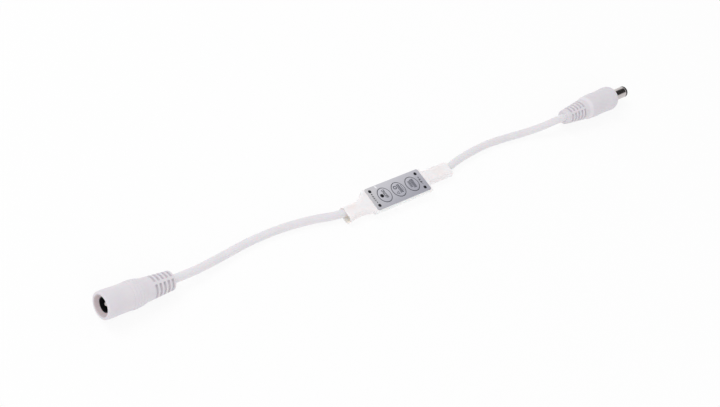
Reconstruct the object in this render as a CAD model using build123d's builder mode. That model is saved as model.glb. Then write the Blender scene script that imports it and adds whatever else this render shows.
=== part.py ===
from build123d import *
import os
from math import pi, radians, tan

os.makedirs("parts", exist_ok=True)

# Round two-core cable, jacket and cores
cable_diameter = 3.5
conductor_diameter = 1.2
core_diameter = 0.6
conductor_spacing = 1.5
stripped_length = 1.4
strip_gap = 0.1
wire_bend = 1.2

# Shrunk sleeve: body, funnels and necks, along X from the input end
left_neck_length = 6.9
left_funnel_length = 7.6
body_length = 32.6
right_funnel_length = 1.9
right_neck_length = 15.0
sleeve_width = 12.2
sleeve_height = 4.3
sleeve_wall = 0.3
body_corner = 0.6
side_flat = 0.3
left_neck_width = 6.4
left_neck_y = -0.7
left_mouth_width = 7.4
left_mouth_y = -1.1
right_neck_width = 7.2
right_neck_y = 1.2
right_mouth_width = 6.7
right_mouth_y = 0.8
right_snip = 1.4
right_snip_slant = 10.0
funnel_sharpness = 2.2
cut_margin = 0.15

# Face label on the sleeve's top
label_inset = 0.2
label_end_margin = 0.8
label_width = 11.45
label_y = 0.15
label_thickness = 0.2
label_corner = 0.9

# Three oval keys
key_length = 6.6
key_width = 7.15
key_pitch = 8.2
key_offset = 0.12
key_crown = 0.1
key_edge = 0.12
key_clearance = 0.15
pusher_diameter = 2.4
pusher_height = 0.2
key_travel = 0.25

# Circuit board
board_thickness = 0.8
board_standoff = 1.2
board_side_clearance = 0.75
board_end_clearance = 0.3
pad_inset = 1.9
pad_spread = 6.0
board_corner = 0.5
joint_height = 1.0
joint_radius = 1.1
joint_round = 0.25
joint_bite = 0.2
wire_straight = 1.3
wire_gap = 0.02

# Power transistor, flat-lead package
mosfet_length = 5.0
mosfet_width = 5.6
mosfet_height = 0.95
mosfet_lead_pairs = 4
mosfet_lead_pitch = 1.27
mosfet_lead_width = 0.42
mosfet_lead_length = 0.7
mosfet_lead_thickness = 0.25
package_chamfer = 0.12

# Microcontroller, gull-wing leads
controller_shift = 0.4
controller_length = 3.0
controller_width = 4.4
controller_height = 0.9
controller_gap = 0.08
controller_lead_pairs = 4
controller_lead_pitch = 0.65
controller_lead_width = 0.25
controller_lead_span = 6.4
controller_lead_root = 0.1
controller_lead_elbow = 0.35
lead_metal = 0.12

# Voltage regulator, three-lead package
regulator_shift = 1.0
regulator_y = 2.2
regulator_length = 2.9
regulator_width = 1.3
regulator_height = 0.95
regulator_lead_spread = 1.9
regulator_lead_width = 0.4
regulator_lead_length = 0.7
regulator_lead_reach = 0.2

# Ceramic capacitors and chip resistors
capacitor_length = 2.0
capacitor_width = 1.25
capacitor_height = 0.85
capacitor_chamfer = 0.06
capacitor_side_spacing = 3.0
capacitor_end_spacing = 3.4
resistor_count = 4
resistor_length = 1.6
resistor_width = 0.8
resistor_height = 0.45
resistor_pitch = 2.2
resistor_shift = 0.6
resistor_edge_distance = 1.2

# Tactile switches under the keys
switch_length = 3.2
switch_width = 4.2
switch_base_height = 0.9
switch_floor = 0.32
cover_thickness = 0.12
cover_tab_height = 0.6
cover_tab_width = 2.0
dome_radius = 1.15
dome_pressed_height = 0.13
dome_thickness = 0.06
dome_clearance = 0.1
stem_radius = 0.8
stem_flange_radius = 1.1
stem_flange = 0.15
stem_clearance = 0.15
stem_reserve = 0.13
terminal_width = 0.5
terminal_thickness = 0.12
terminal_spread = 1.9
terminal_foot = 0.6
terminal_height = 0.45

# Jack: moulded socket for the supply's plug, sizes along its axis from the rim
jack_length = 31.4
jack_rim_radius = 5.0
jack_rim_round = 0.75
jack_rim_step = 0.05
jack_front_radius = 5.6
jack_front_place = 3.6
jack_waist_radius = 5.42
jack_waist_place = 8.4
jack_bulge_radius = 5.65
jack_bulge_place = 13.4
jack_shoulder_radius = 5.3
jack_shoulder_place = 16.6
jack_collar_radius = 4.75
jack_collar_place = 18.6
jack_rear_radius = 3.95
rear_bevel = 0.4
jack_mouth_radius = 4.4
jack_mouth_depth = 1.5
jack_floor_radius = 3.15
socket_radius = 2.9
socket_depth = 10.7
jack_insulator_radius = 3.75
jack_insulator_base = 1.3
jack_relief_start = 19.6
jack_slot_start = 22.2
jack_slot_pitch = 1.93
jack_ring_groove = 0.16
jack_ring_count = 4
jack_ring_start = 0.6
jack_ring_pitch = 0.078
center_pin_radius = 1.0
center_pin_setback = 2.0
center_pin_round = 0.6
center_pin_shank = 1.3
spring_width = 1.6
spring_thickness = 0.2
spring_bow = 0.45
spring_clearance = 0.1
spring_front_distance = 3.0
spring_bow_distance = 6.0
spring_back_distance = 0.6
lug_length = 3.0
lug_width = 1.6
lug_thickness = 0.4
lead_chamber_radius = 3.3
lead_chamber_length = 7.0
lead_bend = 0.8
plug_lead_room = 4.5

# Plug: moulded male connector, sizes along its axis from the cable side
plug_length = 37.1
plug_rear_radius = 3.5
plug_slot_start = 2.8
plug_slot_pitch = 2.12
plug_relief_end = 14.3
plug_collar_radius = 4.95
plug_shoulder_radius = 5.58
plug_shoulder_place = 16.8
plug_shoulder_step = 0.12
plug_swell_radius = 5.76
plug_swell_place = 21.5
plug_waist_radius = 5.62
plug_waist_setback = 9.7
plug_bulge_radius = 5.9
plug_bulge_setback = 4.1
plug_nose_length = 3.3
plug_nose_step = 0.02
plug_nose_middle = 0.9
plug_nose_radius = 5.1
plug_face_radius = 3.4
barrel_radius = 2.75
barrel_wall = 0.3
barrel_projection = 9.0
barrel_embedded = 6.0
barrel_collar_radius = 3.05
barrel_flange_radius = 3.5
barrel_flange = 1.0
tip_length = 1.1
tip_edge = 0.25
tip_lead_in = 0.3
center_hole_radius = 1.05
contact_wall = 0.4
contact_length = 11.0
contact_slit = 0.35
contact_setback = 0.3
contact_clearance = 0.05
contact_stem_radius = 0.8
contact_tail = 1.0
liner_tail = 2.2
tag_thickness = 0.3

# Slotted strain reliefs
slot_count = 5
slot_width = 1.05
slot_depth = 0.85
slot_rib_angle = 17.0
jack_roll = 12.0
plug_roll = 20.0

# Where the connectors lie beside the sleeve
input_reach = 88.5
output_reach = 77.5
jack_y = 0.3
plug_y = 2.8
jack_tilt = 3.5
plug_turn = 1.2
jack_straight = 9.2
plug_straight = 8.5
input_mouth_y = 0.4
output_mouth_y = 2.0
jacket_inside_left = 7.8
jacket_inside_right = 12.6
floor_gap = 0.05

# Levels and places that follow from the sizes above
neck_corner = (sleeve_height - side_flat) / 2
body_belly = sleeve_height - side_flat - body_corner
sleeve_length = (
    left_neck_length + left_funnel_length + body_length + right_funnel_length + right_neck_length
)
sleeve_left = -sleeve_length / 2
sleeve_right = sleeve_length / 2
body_left = sleeve_left + left_neck_length + left_funnel_length
body_right = body_left + body_length
label_length = body_length - label_inset - label_end_margin
label_middle = body_left + label_inset + label_length / 2
key_places = [label_middle + key_offset + step * key_pitch for step in (-1, 0, 1)]
key_names = ["left", "middle", "right"]
board_bottom = sleeve_wall + board_standoff
board_top = board_bottom + board_thickness
board_middle = (body_left + body_right) / 2
board_length = body_length - 2 * board_end_clearance
board_width = sleeve_width - 2 * sleeve_wall - 2 * board_side_clearance
switch_top = board_top + switch_base_height
dome_base = board_top + switch_floor
dome_height = dome_pressed_height + key_travel
dome_top = dome_base + dome_height
stem_top = switch_top + cover_thickness + key_travel + stem_reserve
label_top = sleeve_height + label_thickness
pad_bottom = stem_top + pusher_height
cable_level = sleeve_height / 2
lead_side = conductor_spacing / 2

# Each connector lies on its thickest ring, the jack with its cable end tipped down
jack_way = Vector(1, 0, 0).rotate(Axis.Y, jack_tilt)
jack_rear = Vector(sleeve_left - input_reach, jack_y, jack_bulge_radius + floor_gap)
jack_rear += Vector(0, 0, jack_way.Z * (jack_length - jack_bulge_place))
jack_rim = jack_rear - jack_way * jack_length
plug_way = Vector(1, 0, 0).rotate(Axis.Z, plug_turn)
plug_rear = Vector(sleeve_right + output_reach, plug_y, plug_bulge_radius + floor_gap)
plug_rear -= Vector(0, plug_way.Y * (plug_length - plug_bulge_setback), 0)
jack_axis = Axis(jack_rim, jack_way)
plug_axis = Axis(plug_rear, plug_way)
jack_plane = Plane(origin=jack_rim, x_dir=jack_way, z_dir=(0, -1, 0))
plug_plane = Plane(origin=plug_rear, x_dir=plug_way, z_dir=plug_way.cross(Vector(0, 0, 1)))


def along_x(x, y, z):
    """Plane square to X at a point, its own x along Y."""
    return Plane(origin=(x, y, z), x_dir=(0, 1, 0), z_dir=(1, 0, 0))


def across(plane, place):
    """Plane square to a connector's axis at a place along it, its own x along Y."""
    return Plane(origin=along(plane, place), x_dir=(0, 1, 0), z_dir=plane.x_dir)


def along(plane, place, side=0):
    """Point at a place along a connector's axis, and beside it."""
    return plane.from_local_coords((place, side, 0))


def sleeve_section(x, middle, width, corner, belly, inset):
    """Cross-section of the sleeve, rounder below than above, inset from its outer skin."""
    with BuildSketch(along_x(x, middle, sleeve_height / 2)) as section:
        Rectangle(width - 2 * inset, sleeve_height - 2 * inset)
        fillet(section.vertices().group_by(Axis.Y)[-1], corner - inset)
        fillet(section.vertices().group_by(Axis.Y)[0], belly - inset)
    return section.sketch.face()


def funnel_sections(start, length, neck_width, neck_middle, inset, steps):
    """Sections from the body's end towards a neck, drawn in fast and then slowly."""
    sections = []
    for step in range(steps + 1):
        share = step / steps
        rest = (1 - share) ** funnel_sharpness
        width = neck_width + (sleeve_width - neck_width) * rest
        middle = neck_middle * (1 - rest)
        corner = neck_corner + (body_corner - neck_corner) * rest
        belly = neck_corner + (body_belly - neck_corner) * rest
        place = start + share * length
        sections.append(sleeve_section(place, middle, width, corner, belly, inset))
    return sections


def sleeve_space(inset):
    """The sleeve's outer form, or the hollow in it when inset by the wall."""
    left_funnel = funnel_sections(
        body_left, -left_funnel_length, left_neck_width, left_neck_y, inset, 5
    )
    right_funnel = funnel_sections(
        body_right, right_funnel_length, right_neck_width, right_neck_y, inset, 4
    )
    left_mouth = sleeve_section(
        sleeve_left, left_mouth_y, left_mouth_width, neck_corner, neck_corner, inset
    )
    right_mouth = sleeve_section(
        sleeve_right, right_mouth_y, right_mouth_width, neck_corner, neck_corner, inset
    )
    with BuildPart() as space:
        loft(sections=[left_funnel[0], right_funnel[0]], ruled=True)
        loft(sections=left_funnel)
        loft(sections=right_funnel)
        loft(sections=[left_funnel[-1], left_mouth], ruled=True)
        loft(sections=[right_funnel[-1], right_mouth], ruled=True)
    return space.part


def bend_radii(name, points):
    """Largest tangent arc at each corner of a cable route."""
    radii = []
    for before, corner, after in zip(points, points[1:], points[2:]):
        run_in = Vector(corner) - Vector(before)
        run_out = Vector(after) - Vector(corner)
        half_turn = radians(run_in.get_angle(run_out)) / 2
        radii.append(0.45 * min(run_in.length, run_out.length) / tan(half_turn))
    print(name, "bend radii:", [round(radius, 1) for radius in radii])
    return radii


def insulated_wire(points, bend):
    """A core's insulation along a route, with the stripped end straight beyond it."""
    start_plane = Plane(origin=points[0], z_dir=Vector(points[1]) - Vector(points[0]))
    strip_plane = Plane(origin=points[-1], z_dir=Vector(points[-1]) - Vector(points[-2]))
    with BuildPart() as wire:
        with BuildLine():
            FilletPolyline(*points, radius=bend)
        with BuildSketch(start_plane):
            Circle(conductor_diameter / 2)
        sweep()
        with BuildSketch(strip_plane):
            Circle(core_diameter / 2)
        extrude(amount=stripped_length)
    return wire.part


# Heat-shrink sleeve, open at both necks and over the keys
with BuildPart() as heat_shrink_sleeve:
    add(sleeve_space(0))
    add(sleeve_space(sleeve_wall), mode=Mode.SUBTRACT)
    with BuildSketch(Plane.XY.offset(sleeve_height)):
        with Locations([(x, 0) for x in key_places]):
            Ellipse(key_length / 2 + key_clearance, key_width / 2 + key_clearance)
    extrude(amount=-sleeve_wall - cut_margin, mode=Mode.SUBTRACT)
    snip_way = Vector(1, 0, 0).rotate(Axis.Z, right_snip_slant)
    snip_plane = Plane(origin=(sleeve_right - right_snip, right_mouth_y, 0), z_dir=snip_way)
    split(bisect_by=snip_plane, keep=Keep.BOTTOM)
heat_shrink_sleeve.part.label = "heat_shrink_sleeve"
export_step(heat_shrink_sleeve.part, "parts/heat_shrink_sleeve.step")

# Printed face label with an opening for each key
with BuildPart() as face_label:
    with BuildSketch(Plane.XY.offset(sleeve_height)):
        with Locations((label_middle, label_y)):
            RectangleRounded(label_length, label_width, label_corner)
        with Locations([(x, 0) for x in key_places]):
            Ellipse(
                key_length / 2 + key_clearance,
                key_width / 2 + key_clearance,
                mode=Mode.SUBTRACT,
            )
    extrude(amount=label_thickness)
face_label.part.label = "face_label"
export_step(face_label.part, "parts/face_label.step")

# Oval keys: a pad in the label's opening, with a pusher that stands on the switch stem
for name, x in zip(key_names, key_places):
    with BuildPart() as button:
        with BuildSketch(Plane.XY.offset(pad_bottom)):
            with Locations((x, 0)):
                Ellipse(key_length / 2, key_width / 2)
        extrude(amount=label_top + key_crown - pad_bottom)
        fillet(button.edges().group_by(Axis.Z)[-1], key_edge)
        with BuildSketch(Plane.XY.offset(stem_top)):
            with Locations((x, 0)):
                Circle(pusher_diameter / 2)
        extrude(amount=pad_bottom - stem_top)
    button.part.label = f"button_{name}"
    export_step(button.part, f"parts/button_{name}.step")

# Tactile switch bases, with a round pocket for the dome
for name, x in zip(key_names, key_places):
    with BuildPart() as switch_base:
        with BuildSketch(Plane.XY.offset(board_top)):
            with Locations((x, 0)):
                Rectangle(switch_length, switch_width)
        extrude(amount=switch_base_height)
        with BuildSketch(Plane.XY.offset(dome_base)):
            with Locations((x, 0)):
                Circle(dome_radius + dome_clearance)
        extrude(amount=switch_top - dome_base, mode=Mode.SUBTRACT)
    switch_base.part.label = f"switch_base_{name}"
    export_step(switch_base.part, f"parts/switch_base_{name}.step")

# Snap domes, bowed discs of thin sheet that stand on the pocket floor
for name, x in zip(key_names, key_places):
    with BuildPart() as switch_dome:
        with BuildSketch(Plane(origin=(x, 0, dome_base), x_dir=(1, 0, 0), z_dir=(0, -1, 0))):
            with BuildLine():
                outer_foot = (dome_radius, 0)
                inner_foot = (dome_radius - dome_thickness, 0)
                inner_crown = (0, dome_height - dome_thickness)
                outer_crown = (0, dome_height)
                RadiusArc(outer_crown, outer_foot, (dome_radius**2 + dome_height**2) / 2 / dome_height)
                Line(outer_foot, inner_foot)
                inner_span = (dome_radius - dome_thickness) ** 2
                inner_rise = dome_height - dome_thickness
                RadiusArc(inner_crown, inner_foot, (inner_span + inner_rise**2) / 2 / inner_rise)
                Line(inner_crown, outer_crown)
            make_face()
        revolve(axis=Axis((x, 0, dome_base), (0, 0, 1)))
    switch_dome.part.label = f"switch_dome_{name}"
    export_step(switch_dome.part, f"parts/switch_dome_{name}.step")

# Switch stems: a flange on the dome, held under the cover, and a shaft through it
for name, x in zip(key_names, key_places):
    with BuildPart() as switch_stem:
        with BuildSketch(Plane.XY.offset(dome_top)):
            with Locations((x, 0)):
                Circle(stem_flange_radius)
        extrude(amount=stem_flange)
        with BuildSketch(Plane.XY.offset(dome_top)):
            with Locations((x, 0)):
                Circle(stem_radius)
        extrude(amount=stem_top - dome_top)
    switch_stem.part.label = f"switch_stem_{name}"
    export_step(switch_stem.part, f"parts/switch_stem_{name}.step")

# Switch covers, folded from sheet over each base
for name, x in zip(key_names, key_places):
    with BuildPart() as switch_cover:
        with BuildSketch(Plane.XY.offset(switch_top)):
            with Locations((x, 0)):
                Rectangle(switch_length + 2 * cover_thickness, switch_width)
                Circle(stem_radius + stem_clearance, mode=Mode.SUBTRACT)
        extrude(amount=cover_thickness)
        tab_middle = (switch_length + cover_thickness) / 2
        with BuildSketch(Plane.XY.offset(switch_top)):
            with Locations((x - tab_middle, 0), (x + tab_middle, 0)):
                Rectangle(cover_thickness, cover_tab_width)
        extrude(amount=-cover_tab_height)
    switch_cover.part.label = f"switch_cover_{name}"
    export_step(switch_cover.part, f"parts/switch_cover_{name}.step")

# Switch terminals: bent strips up each base's long sides, with a foot on the board
with BuildPart() as switch_terminals:
    for x in key_places:
        for side in (-1, 1):
            for offset_x in (-terminal_spread / 2, terminal_spread / 2):
                face_y = side * switch_width / 2
                foot_y = face_y + side * terminal_foot
                skin_y = face_y + side * terminal_thickness
                plane = Plane(
                    origin=(x + offset_x - terminal_width / 2, 0, board_top),
                    x_dir=(0, 1, 0),
                    z_dir=(1, 0, 0),
                )
                with BuildSketch(plane):
                    with BuildLine():
                        Polyline(
                            (face_y, 0),
                            (foot_y, 0),
                            (foot_y, terminal_thickness),
                            (skin_y, terminal_thickness),
                            (skin_y, terminal_height),
                            (face_y, terminal_height),
                            close=True,
                        )
                    make_face()
                extrude(amount=terminal_width)
switch_terminals.part.label = "switch_terminals"
export_step(switch_terminals.part, "parts/switch_terminals.step")

# Circuit board, as wide as the sleeve's rounded hollow allows
with BuildPart() as circuit_board:
    with BuildSketch(Plane.XY.offset(board_bottom)):
        with Locations((board_middle, 0)):
            RectangleRounded(board_length, board_width, board_corner)
    extrude(amount=board_thickness)
circuit_board.part.label = "circuit_board"
export_step(circuit_board.part, "parts/circuit_board.step")

# Power transistor in a flat-lead package under the board
with BuildPart() as mosfet:
    with BuildSketch(Plane.XY.offset(board_bottom)):
        with Locations((key_places[0], 0)):
            Rectangle(mosfet_length, mosfet_width)
    extrude(amount=-mosfet_height)
    chamfer(mosfet.edges().group_by(Axis.Z)[0], package_chamfer)
    with BuildSketch(Plane.XY.offset(board_bottom)):
        with Locations((key_places[0], 0)):
            with GridLocations(mosfet_lead_pitch, mosfet_width, mosfet_lead_pairs, 2):
                Rectangle(mosfet_lead_width, mosfet_lead_length)
    extrude(amount=-mosfet_lead_thickness)
mosfet.part.label = "mosfet"
export_step(mosfet.part, "parts/mosfet.step")

# Microcontroller with two rows of gull-wing leads, under the board
controller_x = key_places[1] + controller_shift
controller_row = (controller_lead_pairs - 1) * controller_lead_pitch
with BuildPart() as microcontroller:
    with BuildSketch(Plane.XY.offset(board_bottom - controller_gap)):
        with Locations((controller_x, 0)):
            Rectangle(controller_length, controller_width)
    extrude(amount=-controller_height)
    chamfer(microcontroller.edges().group_by(Axis.Z)[0], package_chamfer)
    for step in range(controller_lead_pairs):
        row_start = controller_x - controller_row / 2 - controller_lead_width / 2
        lead_x = row_start + step * controller_lead_pitch
        lead_plane = Plane(
            origin=(lead_x, 0, board_bottom), x_dir=(0, 1, 0), z_dir=(1, 0, 0)
        )
        shoulder = -controller_gap - controller_height / 2
        root = controller_width / 2 - controller_lead_root
        elbow = controller_width / 2 + controller_lead_elbow
        tip = controller_lead_span / 2
        with BuildSketch(lead_plane):
            with BuildLine():
                Polyline(
                    (root, shoulder),
                    (elbow, shoulder),
                    (elbow, -lead_metal),
                    (tip, -lead_metal),
                    (tip, 0),
                    (elbow - lead_metal, 0),
                    (elbow - lead_metal, shoulder + lead_metal),
                    (root, shoulder + lead_metal),
                    close=True,
                )
            make_face()
            mirror(about=Plane.YZ)
        extrude(amount=controller_lead_width)
microcontroller.part.label = "microcontroller"
export_step(microcontroller.part, "parts/microcontroller.step")

# Voltage regulator in a three-lead package, under the board
regulator_x = key_places[2] - regulator_shift
with BuildPart() as voltage_regulator:
    with BuildSketch(Plane.XY.offset(board_bottom)):
        with Locations((regulator_x, regulator_y)):
            Rectangle(regulator_length, regulator_width)
    extrude(amount=-regulator_height)
    chamfer(voltage_regulator.edges().group_by(Axis.Z)[0], package_chamfer)
    with BuildSketch(Plane.XY.offset(board_bottom)):
        lead_row = regulator_width / 2 + regulator_lead_reach
        with Locations(
            (regulator_x - regulator_lead_spread / 2, regulator_y - lead_row),
            (regulator_x + regulator_lead_spread / 2, regulator_y - lead_row),
            (regulator_x, regulator_y + lead_row),
        ):
            Rectangle(regulator_lead_width, regulator_lead_length)
    extrude(amount=-lead_metal)
voltage_regulator.part.label = "voltage_regulator"
export_step(voltage_regulator.part, "parts/voltage_regulator.step")

# Ceramic capacitors, under the board beside the regulator
capacitor_places = [
    (regulator_x, regulator_y - capacitor_side_spacing),
    (regulator_x + capacitor_end_spacing, regulator_y),
]
with BuildPart() as ceramic_capacitors:
    with BuildSketch(Plane.XY.offset(board_bottom)):
        with Locations(capacitor_places):
            Rectangle(capacitor_length, capacitor_width)
    extrude(amount=-capacitor_height)
    chamfer(ceramic_capacitors.edges().filter_by(Axis.Y), capacitor_chamfer)
ceramic_capacitors.part.label = "ceramic_capacitors"
export_step(ceramic_capacitors.part, "parts/ceramic_capacitors.step")

# Chip resistors, in a row under the board
resistor_x = regulator_x + resistor_shift
resistor_y = resistor_edge_distance - board_width / 2
with BuildPart() as chip_resistors:
    with BuildSketch(Plane.XY.offset(board_bottom)):
        with Locations((resistor_x, resistor_y)):
            with GridLocations(resistor_pitch, resistor_width, resistor_count, 1):
                Rectangle(resistor_length, resistor_width)
    extrude(amount=-resistor_height)
chip_resistors.part.label = "chip_resistors"
export_step(chip_resistors.part, "parts/chip_resistors.step")

# Ends of the cable jackets, held in the sleeve's necks
jacket_end_left = sleeve_left + jacket_inside_left
jacket_end_right = sleeve_right - jacket_inside_right
with BuildPart() as input_cable_end:
    with BuildSketch(along_x(sleeve_left, input_mouth_y, cable_level)):
        Circle(cable_diameter / 2)
    extrude(amount=jacket_inside_left)
input_cable_end.part.label = "input_cable_end"
export_step(input_cable_end.part, "parts/input_cable_end.step")

with BuildPart() as output_cable_end:
    with BuildSketch(along_x(sleeve_right, output_mouth_y, cable_level)):
        Circle(cable_diameter / 2)
    extrude(amount=-jacket_inside_right)
output_cable_end.part.label = "output_cable_end"
export_step(output_cable_end.part, "parts/output_cable_end.step")

# Insulated wires from the jackets to the board, each with a stripped end
wire_level = board_top + conductor_diameter / 2 + wire_gap
pad_left = body_left + board_end_clearance + pad_inset
pad_right = body_right - board_end_clearance - pad_inset
wire_runs = [
    ("input_positive_wire", jacket_end_left, input_mouth_y, 1, pad_left, 1),
    ("input_negative_wire", jacket_end_left, input_mouth_y, -1, pad_left, 1),
    ("output_positive_wire", jacket_end_right, output_mouth_y, 1, pad_right, -1),
    ("output_negative_wire", jacket_end_right, output_mouth_y, -1, pad_right, -1),
]
for name, start_x, cable_y, side, pad_x, way in wire_runs:
    start_y = cable_y + side * conductor_spacing / 2
    pad_y = side * pad_spread / 2
    strip_x = pad_x - way * (joint_radius - joint_bite)
    wire_points = [
        (start_x, start_y, cable_level),
        (start_x + way * wire_straight, start_y, cable_level),
        (strip_x - way * wire_straight, pad_y, wire_level),
        (strip_x, pad_y, wire_level),
    ]
    with BuildPart() as board_wire:
        add(insulated_wire(wire_points, wire_bend))
    board_wire.part.label = name
    export_step(board_wire.part, f"parts/{name}.step")

# Solder joints over the stripped ends
with BuildPart() as solder_joints:
    for pad_x in (pad_left, pad_right):
        for side in (-1, 1):
            with Locations((pad_x, side * pad_spread / 2, board_top)):
                Cone(
                    joint_radius,
                    joint_radius / 2,
                    joint_height,
                    align=(Align.CENTER, Align.CENTER, Align.MIN),
                )
    fillet(solder_joints.edges().group_by(Axis.Z)[-1], joint_round)
    for pad_x, way in ((pad_left, 1), (pad_right, -1)):
        strip_x = pad_x - way * (joint_radius - joint_bite)
        core_plane = Plane(
            origin=(strip_x, 0, wire_level), x_dir=(0, 1, 0), z_dir=(way, 0, 0)
        )
        with BuildSketch(core_plane):
            with Locations((-pad_spread / 2, 0), (pad_spread / 2, 0)):
                Circle(core_diameter / 2)
        extrude(amount=stripped_length, mode=Mode.SUBTRACT)
        insulation_plane = Plane(
            origin=(strip_x, 0, wire_level), x_dir=(0, 1, 0), z_dir=(-way, 0, 0)
        )
        with BuildSketch(insulation_plane):
            with Locations((-pad_spread / 2, 0), (pad_spread / 2, 0)):
                Circle(conductor_diameter / 2)
        extrude(amount=stripped_length, mode=Mode.SUBTRACT)
solder_joints.part.label = "solder_joints"
export_step(solder_joints.part, "parts/solder_joints.step")

# Jack overmould: funnel mouth, waisted grip, shoulder and slotted strain relief
jack_chamber_start = jack_mouth_depth + socket_depth + jack_insulator_base
jack_chamber_end = jack_chamber_start + lead_chamber_length
with BuildPart() as jack_overmould:
    with BuildSketch(jack_plane):
        with BuildLine():
            rim_end = (jack_rim_round, jack_front_radius - jack_rim_step)
            Line((0, jack_mouth_radius), (0, jack_rim_radius))
            RadiusArc((0, jack_rim_radius), rim_end, jack_rim_round)
            grip = Spline(
                rim_end,
                (jack_front_place, jack_front_radius),
                (jack_waist_place, jack_waist_radius),
                (jack_bulge_place, jack_bulge_radius),
                (jack_shoulder_place, jack_shoulder_radius),
                (jack_collar_place, jack_collar_radius),
                tangents=((1, 0.05), (1, -0.05)),
            )
            Polyline(
                (jack_collar_place, jack_collar_radius),
                (jack_relief_start, jack_collar_radius),
                (jack_length - rear_bevel, jack_rear_radius),
                (jack_length, jack_rear_radius - rear_bevel),
                (jack_length, cable_diameter / 2),
                (jack_chamber_end, cable_diameter / 2),
                (jack_chamber_end, lead_chamber_radius),
                (jack_chamber_start, lead_chamber_radius),
                (jack_chamber_start, jack_insulator_radius),
                (jack_mouth_depth, jack_insulator_radius),
                (jack_mouth_depth, jack_floor_radius),
                (0, jack_mouth_radius),
            )
        make_face()
    revolve(axis=jack_axis)
    with BuildSketch(jack_plane):
        for step in range(jack_ring_count):
            with Locations(grip @ (jack_ring_start + step * jack_ring_pitch)):
                Rectangle(jack_ring_groove, jack_ring_groove, rotation=45)
    revolve(axis=jack_axis, mode=Mode.SUBTRACT)
    for half in (0, 180):
        start_angle = half + slot_rib_angle / 2 + jack_roll
        with BuildSketch(jack_plane.rotated((start_angle, 0, 0))):
            for step in range(slot_count):
                place = jack_slot_start + step * jack_slot_pitch
                share = (place - jack_relief_start) / (jack_length - jack_relief_start)
                surface = jack_collar_radius + (jack_rear_radius - jack_collar_radius) * share
                with Locations((place, surface)):
                    Rectangle(slot_width, 2 * slot_depth)
        revolve(axis=jack_axis, revolution_arc=180 - slot_rib_angle, mode=Mode.SUBTRACT)
jack_overmould.part.label = "jack_overmould"
export_step(jack_overmould.part, "parts/jack_overmould.step")

# Jack insulator: the socket's cup, with a groove for the spring contact
spring_groove_depth = spring_thickness + spring_clearance
spring_front = jack_mouth_depth + spring_front_distance
spring_middle = jack_mouth_depth + spring_bow_distance
spring_back = jack_mouth_depth + socket_depth - spring_back_distance
with BuildPart() as jack_insulator:
    with BuildSketch(jack_plane):
        with Locations((jack_mouth_depth, 0)):
            Rectangle(
                socket_depth + jack_insulator_base,
                jack_insulator_radius,
                align=(Align.MIN, Align.MIN),
            )
            Rectangle(
                socket_depth, socket_radius, align=(Align.MIN, Align.MIN), mode=Mode.SUBTRACT
            )
            Rectangle(
                socket_depth + jack_insulator_base,
                center_pin_shank,
                align=(Align.MIN, Align.MIN),
                mode=Mode.SUBTRACT,
            )
    revolve(axis=jack_axis)
    groove_start = spring_front - 2 * spring_clearance
    with BuildSketch(across(jack_plane, groove_start)):
        with Locations((0, -socket_radius)):
            Rectangle(spring_width + 2 * spring_clearance, 2 * spring_groove_depth)
    extrude(amount=jack_chamber_start - groove_start, mode=Mode.SUBTRACT)
jack_insulator.part.label = "jack_insulator"
export_step(jack_insulator.part, "parts/jack_insulator.step")

# Jack centre pin: a rounded tip, a thicker shank in the insulator, and a flat lug behind
jack_lug_end = jack_chamber_start + lug_length
lug_level = lead_side - core_diameter / 2 - lug_thickness / 2
with BuildPart() as jack_center_pin:
    with BuildSketch(across(jack_plane, center_pin_setback)):
        Circle(center_pin_radius)
    extrude(amount=jack_chamber_start - center_pin_setback)
    fillet(jack_center_pin.edges().group_by(jack_axis)[0], center_pin_round)
    with BuildSketch(across(jack_plane, jack_chamber_start)):
        Circle(center_pin_shank)
    extrude(amount=-jack_insulator_base)
    with BuildSketch(across(jack_plane, jack_chamber_start)):
        with Locations((0, lug_level)):
            Rectangle(lug_width, lug_thickness)
    extrude(amount=lug_length)
jack_center_pin.part.label = "jack_center_pin"
export_step(jack_center_pin.part, "parts/jack_center_pin.step")

# Jack spring contact: a bowed leaf along the socket wall, ending in a lug
spring_seat = socket_radius + spring_thickness / 2
spring_peak = socket_radius - spring_bow
with BuildPart() as jack_contact_spring:
    with BuildSketch(jack_plane.offset(-spring_width / 2)):
        with BuildLine():
            Polyline(
                (spring_front, -spring_seat),
                (spring_middle, -spring_peak),
                (spring_back, -spring_seat),
                (jack_lug_end, -spring_seat),
            )
        trace(line_width=spring_thickness)
    extrude(amount=spring_width)
jack_contact_spring.part.label = "jack_contact_spring"
export_step(jack_contact_spring.part, "parts/jack_contact_spring.step")

# Cable jacket and lead wires inside the jack
with BuildPart() as jack_cable_end:
    with BuildSketch(across(jack_plane, jack_chamber_end)):
        Circle(cable_diameter / 2)
    extrude(amount=jack_length - jack_chamber_end)
jack_cable_end.part.label = "jack_cable_end"
export_step(jack_cable_end.part, "parts/jack_cable_end.step")

spring_lead_side = spring_seat - spring_thickness / 2 - core_diameter / 2
jack_strip = jack_lug_end + strip_gap
with BuildPart() as jack_lead_wires:
    spring_lead = [
        along(jack_plane, jack_chamber_end, -lead_side),
        along(jack_plane, jack_chamber_end - lead_bend, -lead_side),
        along(jack_plane, jack_strip + lead_bend, -spring_lead_side),
        along(jack_plane, jack_strip, -spring_lead_side),
    ]
    add(insulated_wire(spring_lead, lead_bend))
    with BuildSketch(across(jack_plane, jack_chamber_end)):
        with Locations((0, lead_side)):
            Circle(conductor_diameter / 2)
    extrude(amount=jack_strip - jack_chamber_end)
    with BuildSketch(across(jack_plane, jack_strip)):
        with Locations((0, lead_side)):
            Circle(core_diameter / 2)
    extrude(amount=-stripped_length)
jack_lead_wires.part.label = "jack_lead_wires"
export_step(jack_lead_wires.part, "parts/jack_lead_wires.step")

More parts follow.
